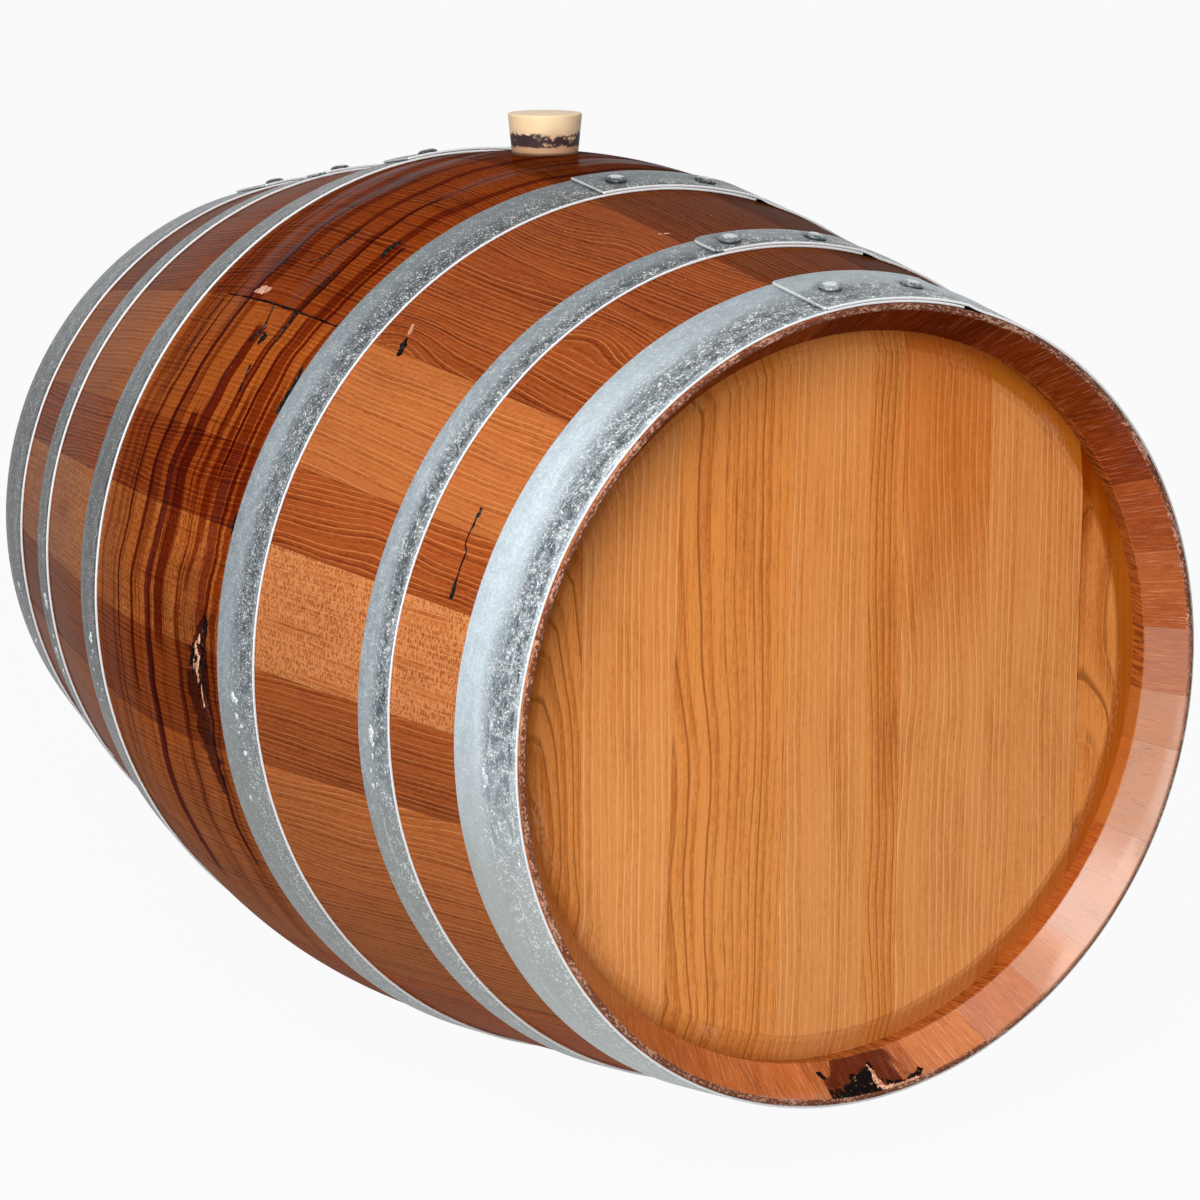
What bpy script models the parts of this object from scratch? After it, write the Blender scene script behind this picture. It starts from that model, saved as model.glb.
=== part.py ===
"""Wooden wine barrel lying on its side with its bung on top.

Metres, +Z up. The barrel's axis runs along X and the front head faces +X.
The origin is the lowest point of the bilge, half-way along the barrel.
"""
import math

import bmesh
import bpy
from mathutils import Matrix, Vector

# Overall shape
LENGTH = 0.950
END_RADIUS = 0.294
BILGE_RADIUS = 0.363
BEND_LENGTH = 0.100
GAP = 0.0003

# Staves, the bung stave first, then round by way of -Y: width at the bilge
STAVE_THICKNESS = 0.028
STAVE_WIDTHS = (
    0.114, 0.111, 0.113, 0.116, 0.063, 0.100, 0.078, 0.108, 0.107,
    0.111, 0.120, 0.119, 0.075, 0.076, 0.060, 0.119, 0.093, 0.053,
    0.066, 0.081, 0.079, 0.086, 0.084, 0.075, 0.076,
)
END_FACE = 0.005
CHIME_BEVEL = 0.031
CROZE_DEPTH = 0.005

# Heads: the face lies this far in from the stave ends
HEAD_SETBACK = 0.042
HEAD_THICKNESS = 0.024
HEAD_BEVEL = 0.020
HEAD_BEVEL_DEPTH = 0.005
HEAD_EDGE = 0.006
TONGUE_DEPTH = 0.006
TONGUE_THICKNESS = 0.006

# Head boards from -Y to +Y: width, and how far the joint after it leans, in degrees
FRONT_BOARDS = (
    (0.057, -0.6), (0.076, -1.8), (0.095, -1.2), (0.0725, 0.0),
    (0.030, 0.0), (0.079, 0.4), (0.0875, 0.0), (0.062, 0.0),
)
REAR_BOARDS = (
    (0.066, 0.8), (0.088, 0.0), (0.074, -0.7), (0.096, 0.0),
    (0.081, 0.5), (0.092, -0.4), (0.062, 0.0),
)

# Hoops: each inset is the distance of the outer edge from the stave ends
HOOP_THICKNESS = 0.002
CHIME_HOOP_INSET = 0.003
CHIME_HOOP_WIDTH = 0.066
QUARTER_HOOP_INSET = 0.142
QUARTER_HOOP_WIDTH = 0.036
BILGE_HOOP_INSET = 0.3075
BILGE_HOOP_WIDTH = 0.049

# Angle of each hoop's first rivet from the top towards -Y, in degrees
RIVET_ANGLES = {
    "front_chime": 4.2, "front_quarter": 4.5, "front_bilge": 3.1,
    "rear_bilge": 5.2, "rear_quarter": 5.2, "rear_chime": 6.6,
}
RIVET_PITCH = 0.075
RIVET_HEAD_RADIUS = 0.0085
RIVET_HEAD_HEIGHT = 0.0035
RIVET_SHANK_RADIUS = 0.004
RIVET_TAIL_RADIUS = 0.0052

# Bung: it tapers all the way down, and its hole with it
BUNG_TOP_RADIUS = 0.03025
BUNG_TAPER = 0.103
BUNG_PROUD = 0.0315
BUNG_HEIGHT = 0.056
BUNG_CHAMFER = 0.002

# Facets: stations along the staves, and how they crowd towards the bend
BEND_STEPS = 6
BEND_CROWDING = 1.6
STAVE_FACET = math.radians(6.0)
LAP_FACETS = 108
LAP_END_FACETS = 1.5
HOOP_FACETS = 72
HEAD_FACETS = 60
BUNG_FACETS = 32
RIVET_FACETS = 12

AXIS = Vector((0.0, 0.0, BILGE_RADIUS))
ALONG = Vector((1.0, 0.0, 0.0))
UP = Vector((0.0, 0.0, 1.0))
END = LENGTH / 2

COLOURS = {
    "stave_wood": ((0.36, 0.13, 0.045), 0.35, 0.0),
    "head_wood": ((0.62, 0.31, 0.11), 0.5, 0.0),
    "zinc": ((0.46, 0.50, 0.52), 0.45, 0.9),
    "silicone": ((0.86, 0.73, 0.52), 0.55, 0.0),
}


def clear_scene():
    for thing in list(bpy.data.objects):
        bpy.data.objects.remove(thing, do_unlink=True)


def finish(name):
    """The Principled material of one piece's finish."""
    material = bpy.data.materials.get(name)
    if material:
        return material
    colour, roughness, metallic = COLOURS[name]
    material = bpy.data.materials.new(name)
    material.use_nodes = True
    shader = material.node_tree.nodes["Principled BSDF"]
    shader.inputs["Base Color"].default_value = (*colour, 1.0)
    shader.inputs["Roughness"].default_value = roughness
    shader.inputs["Metallic"].default_value = metallic
    return material


def make_object(name, shape, material_name, place=None):
    """Turns a bmesh into an object with a smooth, outward facing surface."""
    bmesh.ops.recalc_face_normals(shape, faces=shape.faces)
    mesh = bpy.data.meshes.new(name)
    shape.to_mesh(mesh)
    shape.free()
    mesh.shade_smooth()
    mesh.set_sharp_from_angle(angle=math.radians(30))
    mesh.materials.append(finish(material_name))
    thing = bpy.data.objects.new(name, mesh)
    bpy.context.scene.collection.objects.link(thing)
    if place:
        thing.matrix_world = place
    return thing


def make_cutter(name, shape, material_name):
    """An object that only cuts or trims others."""
    cutter = make_object(name, shape, material_name)
    cutter.hide_render = True
    cutter.display_type = "WIRE"
    return cutter


def add_boolean(thing, operation, cutter):
    cut = thing.modifiers.new(cutter.name, "BOOLEAN")
    cut.operation = operation
    cut.object = cutter
    cut.solver = "EXACT"


# The barrel's curve

def outer_radius(x):
    """Outside of the staves: nearly straight to the ends, bent in the middle."""
    drop = (BILGE_RADIUS - END_RADIUS) / (math.hypot(END, BEND_LENGTH) - BEND_LENGTH)
    return BILGE_RADIUS - drop * (math.hypot(x, BEND_LENGTH) - BEND_LENGTH)


def inner_radius(x):
    return outer_radius(x) - STAVE_THICKNESS


def stations(half):
    """Places along the barrel, closer together where the staves bend most."""
    steps = [half * (i / BEND_STEPS) ** BEND_CROWDING for i in range(BEND_STEPS + 1)]
    return [-x for x in reversed(steps[1:])] + steps


def around(x, radius, angle):
    """Point at this angle round the barrel's axis, from the top towards -Y."""
    return AXIS + Vector((x, -radius * math.sin(angle), radius * math.cos(angle)))


def spin_profile(shape, profile, start, sweep, steps):
    """Turns a closed (x, radius) profile round the barrel's axis."""
    face = shape.faces.new([shape.verts.new(around(x, r, start)) for x, r in profile])
    bmesh.ops.spin(shape, geom=[face, *face.edges, *face.verts], cent=AXIS, axis=ALONG,
                   angle=sweep, steps=steps)


# Where the head's edge sits in its groove, the croze

HEAD_FACE = END - HEAD_SETBACK
HEAD_INSIDE = HEAD_FACE - HEAD_THICKNESS
EDGE_OUT = HEAD_FACE - HEAD_BEVEL_DEPTH
EDGE_IN = EDGE_OUT - HEAD_EDGE
CROZE_OUT = EDGE_OUT + GAP
CROZE_IN = EDGE_IN - GAP


def croze_radius():
    return inner_radius(CROZE_OUT) + CROZE_DEPTH


def head_radius():
    """The head clears the flat facets of the croze's floor."""
    return croze_radius() * math.cos(STAVE_FACET / 2) - GAP


# Staves

def stave_profile():
    bore = [(x, inner_radius(x)) for x in stations(CROZE_IN)]
    outside = [(x, outer_radius(x)) for x in stations(END)]
    chime = [
        (CROZE_IN, croze_radius()),
        (CROZE_OUT, croze_radius()),
        (CROZE_OUT, inner_radius(CROZE_OUT)),
        (END - CHIME_BEVEL, inner_radius(END - CHIME_BEVEL)),
        (END, END_RADIUS - END_FACE),
    ]
    far_chime = [(-x, r) for x, r in reversed(chime)]
    return bore + chime + outside[::-1] + far_chime


def build_staves():
    turn = 2 * math.pi / sum(STAVE_WIDTHS)
    joint_gap = GAP / (END_RADIUS - STAVE_THICKNESS)
    profile = stave_profile()
    start = -turn * STAVE_WIDTHS[0] / 2
    staves = []
    for number, width in enumerate(STAVE_WIDTHS, start=1):
        sweep = turn * width
        steps = math.ceil(sweep / STAVE_FACET)
        shape = bmesh.new()
        spin_profile(shape, profile, start + joint_gap / 2, sweep - joint_gap, steps)
        name = "bung_stave" if number == 1 else f"stave_{number:02d}"
        staves.append(make_object(name, shape, "stave_wood"))
        start += sweep
    return staves


# Bung and its hole

def bung_radius(height):
    """Radius of the bung at a height above the bilge's top."""
    return BUNG_TOP_RADIUS - BUNG_TAPER * (BUNG_PROUD - height)


def spin_upright(shape, profile, facets, centre):
    """Turns an open (radius, height) profile that starts and ends on the axis."""
    verts = [shape.verts.new(centre + Vector((r, 0.0, z))) for r, z in profile]
    edges = [shape.edges.new(pair) for pair in zip(verts, verts[1:])]
    bmesh.ops.spin(shape, geom=verts + edges, cent=centre, axis=UP,
                   angle=2 * math.pi, steps=facets, use_merge=True)
    bmesh.ops.remove_doubles(shape, verts=shape.verts, dist=GAP / 10)


def build_bung(stave):
    seat = AXIS + UP * BILGE_RADIUS
    low = BUNG_PROUD - BUNG_HEIGHT
    shape = bmesh.new()
    profile = [
        (0.0, low),
        (bung_radius(low) - BUNG_CHAMFER, low),
        (bung_radius(low + BUNG_CHAMFER), low + BUNG_CHAMFER),
        (bung_radius(BUNG_PROUD - BUNG_CHAMFER), BUNG_PROUD - BUNG_CHAMFER),
        (BUNG_TOP_RADIUS - BUNG_CHAMFER, BUNG_PROUD),
        (0.0, BUNG_PROUD),
    ]
    spin_upright(shape, profile, BUNG_FACETS, Vector())
    make_object("bung", shape, "silicone", Matrix.Translation(seat))

    hole = bmesh.new()
    above = BUNG_PROUD
    below = -2 * STAVE_THICKNESS
    profile = [
        (0.0, below),
        (bung_radius(below) + GAP, below),
        (bung_radius(above) + GAP, above),
        (0.0, above),
    ]
    spin_upright(hole, profile, BUNG_FACETS, seat)
    add_boolean(stave, "DIFFERENCE", make_cutter("bung_hole", hole, "stave_wood"))


# Heads

def head_form(side):
    """The whole head before it is split into boards."""
    rim = head_radius()
    flat = inner_radius(EDGE_OUT) - GAP - HEAD_BEVEL
    land = inner_radius(EDGE_OUT) - GAP
    profile = [
        (HEAD_FACE, 0.0), (HEAD_FACE, flat), (EDGE_OUT, land), (EDGE_OUT, rim),
        (EDGE_IN, rim), (EDGE_IN, land), (HEAD_INSIDE, flat), (HEAD_INSIDE, 0.0),
    ]
    shape = bmesh.new()
    verts = [shape.verts.new(around(side * x, r, 0.0)) for x, r in profile]
    edges = [shape.edges.new(pair) for pair in zip(verts, verts[1:])]
    bmesh.ops.spin(shape, geom=verts + edges, cent=AXIS, axis=ALONG,
                   angle=2 * math.pi, steps=HEAD_FACETS, use_merge=True)
    bmesh.ops.remove_doubles(shape, verts=shape.verts, dist=GAP / 10)
    return shape


def board_section(side, left, right, height, tongue, groove):
    """One level of a board with a groove on its -Y edge and a tongue on its +Y edge."""
    out = side * (HEAD_FACE + TONGUE_DEPTH)
    back = side * (HEAD_INSIDE - TONGUE_DEPTH)
    middle = side * (HEAD_FACE + HEAD_INSIDE) / 2
    near = middle + side * TONGUE_THICKNESS / 2
    far = middle - side * TONGUE_THICKNESS / 2
    points = [(out, left), (out, right)]
    if tongue:
        tip = right + TONGUE_DEPTH
        points += [(near, right), (near, tip), (far, tip), (far, right)]
    points += [(back, right), (back, left)]
    if groove:
        floor = left + TONGUE_DEPTH + GAP
        clear = side * GAP
        points += [(far - clear, left), (far - clear, floor), (near + clear, floor), (near + clear, left)]
    return [Vector((x, y, height)) for x, y in points]


def build_head(prefix, side, boards):
    form = make_cutter(f"{prefix}_head_form", head_form(side), "head_wood")
    rim = head_radius()
    scale = 2 * rim / sum(width for width, lean in boards)
    reach = rim + TONGUE_DEPTH
    centres = [-rim - TONGUE_DEPTH]
    leans = [0.0]
    edge = -rim
    for width, lean in boards[:-1]:
        edge += scale * width
        centres.append(edge)
        leans.append(math.tan(math.radians(lean)))
    centres.append(rim + TONGUE_DEPTH)
    leans.append(0.0)
    for number in range(1, len(boards) + 1):
        first, last = number == 1, number == len(boards)
        shape = bmesh.new()
        levels = []
        for height in (-reach, reach):
            left = centres[number - 1] - height * leans[number - 1] + GAP / 2
            right = centres[number] - height * leans[number] - GAP / 2
            section = board_section(side, left, right, AXIS.z + height, not last, not first)
            levels.append(shape.faces.new([shape.verts.new(p) for p in section]))
        bmesh.ops.bridge_loops(shape, edges=[e for face in levels for e in face.edges])
        board = make_object(f"{prefix}_head_board_{number}", shape, "head_wood")
        add_boolean(board, "INTERSECT", form)


# Hoops and their rivets

LAP_STEP = 2 * math.pi / LAP_FACETS
LAP_RISE = HOOP_THICKNESS + GAP


def hoop_line(side, inset, width):
    """The strap's inside as two (x, radius) points, clear of the curved staves."""
    edges = [END - inset - width, END - inset]
    radii = [outer_radius(x) for x in edges]
    bulge = outer_radius(sum(edges) / 2) - sum(radii) / 2
    facet = max(radii) * (1 - math.cos(math.pi / HOOP_FACETS))
    return [Vector((side * x, r + bulge + facet + GAP)) for x, r in zip(edges, radii)]


def hoop_normal(low, high):
    """Outward direction across the strap in the (x, radius) plane."""
    run = high - low
    normal = Vector((-run.y, run.x)).normalized()
    return normal if normal.y > 0 else -normal


def rivet_profile(spare):
    """Tail, shank and domed head, from the tail's end up to the dome's top."""
    grip = 2 * HOOP_THICKNESS + GAP
    head = [
        (RIVET_HEAD_RADIUS * math.cos(a), RIVET_HEAD_HEIGHT * math.sin(a))
        for a in (0.0, math.pi / 8, math.pi / 4, 3 * math.pi / 8)
    ]
    tail = [
        (0.0, -grip - spare),
        (RIVET_TAIL_RADIUS + spare, -grip - spare),
        (RIVET_SHANK_RADIUS + spare, -grip + HOOP_THICKNESS / 2),
    ]
    if spare:
        return tail + [(RIVET_SHANK_RADIUS + spare, RIVET_HEAD_HEIGHT), (0.0, RIVET_HEAD_HEIGHT)]
    lift = GAP / 2
    return tail + [(RIVET_SHANK_RADIUS, lift)] + [(r, z + lift) for r, z in head] + [
        (0.0, RIVET_HEAD_HEIGHT + lift)
    ]


def rivet_place(low, high, angle):
    """Frame of a rivet on the outer layer of the lap, its Z axis pointing out."""
    normal = hoop_normal(low, high)
    middle = (low + high) / 2
    flat = math.cos(LAP_STEP / 2)
    surface = Vector((middle.x, (middle.y + LAP_RISE) * flat)) + normal * HOOP_THICKNESS
    lean = Matrix.Rotation(math.atan2(normal.x, normal.y), 4, "Y")
    return (Matrix.Translation(AXIS) @ Matrix.Rotation(angle, 4, "X")
            @ Matrix.Translation((surface.x, 0.0, surface.y)) @ lean)


def spin_hoop(low, high, start, lap_steps):
    """A strap whose outer end lies over its inner end, in flats that nest."""
    lap = lap_steps * LAP_STEP
    free = 2 * math.pi - lap - LAP_STEP
    stretches = (
        (lap, lap_steps, 0.0),
        (LAP_STEP, 1, LAP_RISE),
        (free, round(free * HOOP_FACETS / (2 * math.pi)), 0.0),
        (lap, lap_steps, 0.0),
    )
    rise = Vector((0.0, LAP_RISE))
    thick = hoop_normal(low, high) * HOOP_THICKNESS
    section = [low + rise, high + rise, high + rise + thick, low + rise + thick]
    shape = bmesh.new()
    face = shape.faces.new([shape.verts.new(around(p.x, p.y, start)) for p in section])
    geometry = [face, *face.edges, *face.verts]
    for sweep, steps, drop in stretches:
        spun = bmesh.ops.spin(shape, geom=geometry, cent=AXIS, axis=ALONG,
                              angle=-sweep, steps=steps)
        geometry = spun["geom_last"]
        start -= sweep
        inward = -drop * (around(0.0, 1.0, start) - AXIS)
        ends = [v for v in geometry if isinstance(v, bmesh.types.BMVert)]
        bmesh.ops.translate(shape, verts=ends, vec=inward)
    return shape


def build_hoops():
    holes = bmesh.new()
    hoops = []
    straps = {
        "chime": (CHIME_HOOP_INSET, CHIME_HOOP_WIDTH),
        "quarter": (QUARTER_HOOP_INSET, QUARTER_HOOP_WIDTH),
        "bilge": (BILGE_HOOP_INSET, BILGE_HOOP_WIDTH),
    }
    for place_name, degrees in RIVET_ANGLES.items():
        end_name, strap = place_name.split("_")
        name = f"{place_name}_hoop"
        low, high = hoop_line(1 if end_name == "front" else -1, *straps[strap])
        pitch_steps = round(RIVET_PITCH / (low.y * LAP_STEP))
        first = math.radians(degrees)
        shape = spin_hoop(low, high, first + LAP_END_FACETS * LAP_STEP,
                          pitch_steps + round(2 * LAP_END_FACETS))
        hoops.append(make_object(name, shape, "zinc"))
        for number, angle in enumerate((first, first - pitch_steps * LAP_STEP), start=1):
            place = rivet_place(low, high, angle)
            rivet = bmesh.new()
            spin_upright(rivet, rivet_profile(0.0), RIVET_FACETS, Vector())
            make_object(f"{name}_rivet_{number}", rivet, "zinc", place)
            hole = bmesh.new()
            spin_upright(hole, rivet_profile(GAP), RIVET_FACETS, Vector())
            bmesh.ops.transform(hole, matrix=place, verts=hole.verts)
            cut = bpy.data.meshes.new(f"{name}_hole_{number}")
            hole.to_mesh(cut)
            hole.free()
            holes.from_mesh(cut)
    cutter = make_cutter("rivet_holes", holes, "zinc")
    for hoop in hoops:
        add_boolean(hoop, "DIFFERENCE", cutter)


def main():
    clear_scene()
    staves = build_staves()
    build_bung(staves[0])
    build_head("front", 1, FRONT_BOARDS)
    build_head("rear", -1, REAR_BOARDS)
    build_hoops()


main()
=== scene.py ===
import math

import bmesh
import bpy
from mathutils import Matrix, Vector, noise


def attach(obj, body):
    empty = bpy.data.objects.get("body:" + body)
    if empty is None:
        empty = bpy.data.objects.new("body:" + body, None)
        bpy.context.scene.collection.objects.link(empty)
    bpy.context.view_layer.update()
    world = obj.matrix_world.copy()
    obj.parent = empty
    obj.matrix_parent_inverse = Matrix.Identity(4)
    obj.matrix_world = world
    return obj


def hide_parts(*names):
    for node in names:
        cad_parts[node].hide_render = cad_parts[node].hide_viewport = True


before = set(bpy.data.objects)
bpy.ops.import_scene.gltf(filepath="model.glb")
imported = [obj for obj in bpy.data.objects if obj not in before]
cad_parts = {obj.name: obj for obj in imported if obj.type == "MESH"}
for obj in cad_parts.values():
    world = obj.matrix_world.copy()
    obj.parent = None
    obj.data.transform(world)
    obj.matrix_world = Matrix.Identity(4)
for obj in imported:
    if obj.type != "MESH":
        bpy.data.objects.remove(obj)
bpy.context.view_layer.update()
print("frame loaded:", len(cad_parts), "pieces")


# a Value is a number on a node's socket, and signs between Values add Math nodes

def sign(operation, swapped=False):
    def act(self, other):
        pair = (other, self) if swapped else (self, other)
        return self.finish.maths(operation, *pair)
    return act


class Value:
    def __init__(self, finish, socket):
        self.finish = finish
        self.socket = socket

    __add__ = sign("ADD")
    __radd__ = sign("ADD", True)
    __sub__ = sign("SUBTRACT")
    __rsub__ = sign("SUBTRACT", True)
    __mul__ = sign("MULTIPLY")
    __rmul__ = sign("MULTIPLY", True)
    __truediv__ = sign("DIVIDE")
    __rtruediv__ = sign("DIVIDE", True)
    __pow__ = sign("POWER")


class Finish:
    def __init__(self, name, kind="Material"):
        self.kind = kind
        self.owner = getattr(bpy.data, kind.lower() + "s").new(name)
        self.owner.use_nodes = True
        self.tree = self.owner.node_tree
        first = {"Material": "Principled BSDF", "World": "Background"}[kind]
        self.shader = Value(self, self.tree.nodes[first].outputs[0])

    def feed(self, socket, value):
        if isinstance(value, Value):
            self.tree.links.new(value.socket, socket)
        else:
            socket.default_value = value

    def node(self, kind, settings=None, sockets=None, out=0):
        made = self.tree.nodes.new("ShaderNode" + kind)
        for name, value in (settings or {}).items():
            if name == "stops":
                while len(made.color_ramp.elements) < len(value):
                    made.color_ramp.elements.new(1.0)
                for element, (place, colour) in zip(made.color_ramp.elements, value):
                    element.position = place
                    element.color = colour
            else:
                setattr(made, name, value)
        for name, value in (sockets or {}).items():
            self.feed(made.inputs[name], value)
        return Value(self, made.outputs[out])

    def maths(self, operation, *values):
        return self.node("Math", {"operation": operation}, dict(enumerate(values)))

    def step(self, value, low, high):  # smooth 0 to 1 between low and high
        return self.node("MapRange", {"interpolation_type": "SMOOTHSTEP"}, {0: value, 1: low, 2: high})

    def mix(self, share, first, second, blend="MIX"):
        settings = {"data_type": "RGBA", "blend_type": blend, "clamp_factor": True}
        return self.node("Mix", settings, {0: share, 6: first, 7: second}, out=2)

    def noise(self, place, scale, detail=2.0, roughness=0.5, out=0):
        stretched = self.node("VectorMath", {"operation": "MULTIPLY"}, {0: place, 1: scale})
        sockets = {"Vector": stretched, "Scale": 1.0, "Detail": detail, "Roughness": roughness}
        return self.node("TexNoise", {}, sockets, out)

    def split(self, vector):
        first = self.node("SeparateXYZ", {}, {0: vector})
        return [Value(self, socket) for socket in first.socket.node.outputs]

    def shifted(self, place, by):
        return self.node("VectorMath", {"operation": "ADD"}, {0: place, 1: by})

    def surface(self, sockets):
        inputs = self.shader.socket.node.inputs
        for name, value in sockets.items():
            self.feed(inputs[name], value)

    def show(self, shader):
        self.feed(self.tree.nodes[self.kind + " Output"].inputs[0], shader)

    def rays(self, *names):  # 1 for rays of these kinds
        path = self.node("LightPath").socket.node
        total = Value(self, path.outputs[names[0]])
        for name in names[1:]:
            total = self.maths("MAXIMUM", total, Value(self, path.outputs[name]))
        return total


def tint(red, green, blue):
    return (red, green, blue, 1.0)


barrel = {
    "length": 0.950,
    "endRadius": 0.2938,
    "bilgeRadius": 0.3628,
    "bendLength": 0.100,
    "axisHeight": 0.363,
    "gap": 0.0003,
}
end = barrel["length"] / 2
bend = barrel["bendLength"]
drop = (barrel["bilgeRadius"] - barrel["endRadius"]) / (math.hypot(end, bend) - bend)


def outerRadius(x):
    return barrel["bilgeRadius"] - drop * (math.hypot(x, bend) - bend)


def onBarrel(x, angle, radius):  # angle from the top towards -Y
    return Vector((x, -radius * math.sin(angle), barrel["axisHeight"] + radius * math.cos(angle)))


def addPiece(name, bm, finish, body="root", nodes=(), sharp=40):
    mesh = bpy.data.meshes.new(name)
    bm.to_mesh(mesh)
    bm.free()
    mesh.shade_smooth()
    mesh.set_sharp_from_angle(angle=math.radians(sharp))
    mesh.materials.append(finish.owner)
    piece = bpy.data.objects.new(name, mesh)
    bpy.context.scene.collection.objects.link(piece)
    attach(piece, body)
    if nodes:
        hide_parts(*nodes)
    return piece


def closeAndTurnOut(bm):
    loose = [edge for edge in bm.edges if edge.is_boundary]
    if loose:
        bmesh.ops.holes_fill(bm, edges=loose)
    bmesh.ops.recalc_face_normals(bm, faces=bm.faces)


def cut(bm, place, direction, clear=False):
    bmesh.ops.bisect_plane(bm, geom=bm.verts[:] + bm.edges[:] + bm.faces[:], dist=1e-7,
                           plane_co=place, plane_no=direction, clear_outer=clear)


# base, shade and line are the wood's ground, its dark late rings and its pore lines, late says how dark a ring ends
timbers = {
    "amber": {"base": tint(0.66, 0.188, 0.046), "shade": tint(0.36, 0.074, 0.014), "line": tint(0.90, 0.36, 0.13), "late": 0.26},
    "honey": {"base": tint(0.50, 0.137, 0.034), "shade": tint(0.25, 0.056, 0.012), "line": tint(0.72, 0.27, 0.09), "late": 0.40},
    "russet": {"base": tint(0.46, 0.095, 0.018), "shade": tint(0.20, 0.030, 0.005), "line": tint(0.80, 0.27, 0.08), "late": 0.50},
    "umber": {"base": tint(0.38, 0.088, 0.019), "shade": tint(0.17, 0.032, 0.006), "line": tint(0.62, 0.20, 0.06), "late": 0.50},
    "straw": {"base": tint(0.76, 0.305, 0.090), "shade": tint(0.58, 0.190, 0.042), "line": tint(0.86, 0.42, 0.16), "late": 0.30},
    "gold": {"base": tint(0.78, 0.298, 0.077), "shade": tint(0.54, 0.165, 0.032), "line": tint(0.33, 0.100, 0.019), "late": 0.62},
    "copper": {"base": tint(0.64, 0.225, 0.055), "shade": tint(0.41, 0.112, 0.020), "line": tint(0.31, 0.085, 0.015), "late": 0.65},
}

# how the board was sawn from its log: pith is where the log's middle lies across and below it
sawing = {
    "rift": {"pith": (0.150, 0.085), "tilt": 0.02, "wander": 0.008, "arch": 0.010},
    "quarter": {"pith": (0.230, 0.030), "tilt": 0.01, "wander": 0.004, "arch": 0.004},
    "flat": {"pith": (0.035, 0.075), "tilt": 0.06, "wander": 0.012, "arch": 0.026},
    "wavy": {"pith": (0.150, 0.080), "tilt": 0.05, "wander": 0.013, "arch": 0.024},
    "veined": {"pith": (0.090, 0.080), "tilt": 0.03, "wander": 0.009, "arch": 0.012},
}

woodGrain = {
    "ring": 0.0034,        # width of a year's growth
    "lineShare": 0.20,     # pore line, of a ring
    "fibre": 1.8,
    "speckle": 1.5,
    "band": 0.9,
    "bumpDepth": 0.00025,
    "bevel": tint(0.62, 0.180, 0.042),     # turned faces of the chime
    "bevelShade": tint(0.32, 0.072, 0.014),
    "howel": tint(0.50, 0.140, 0.026),     # hollow between the chime and the head
    "stroke": tint(0.86, 0.42, 0.22),      # pale scratches that the turning tool left
    "crust": tint(0.56, 0.31, 0.22),       # frayed end grain
    "crustDark": tint(0.13, 0.045, 0.026),
    "bruise": tint(0.28, 0.19, 0.24),
    "raw": tint(0.80, 0.48, 0.33),         # torn, bare wood
    # pale painted sheen on the chime, and the darker marks in it
    "paintedSheen": tint(0.47, 0.26, 0.18),
    "paintedSheenMark": tint(0.24, 0.13, 0.11),
}


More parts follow.
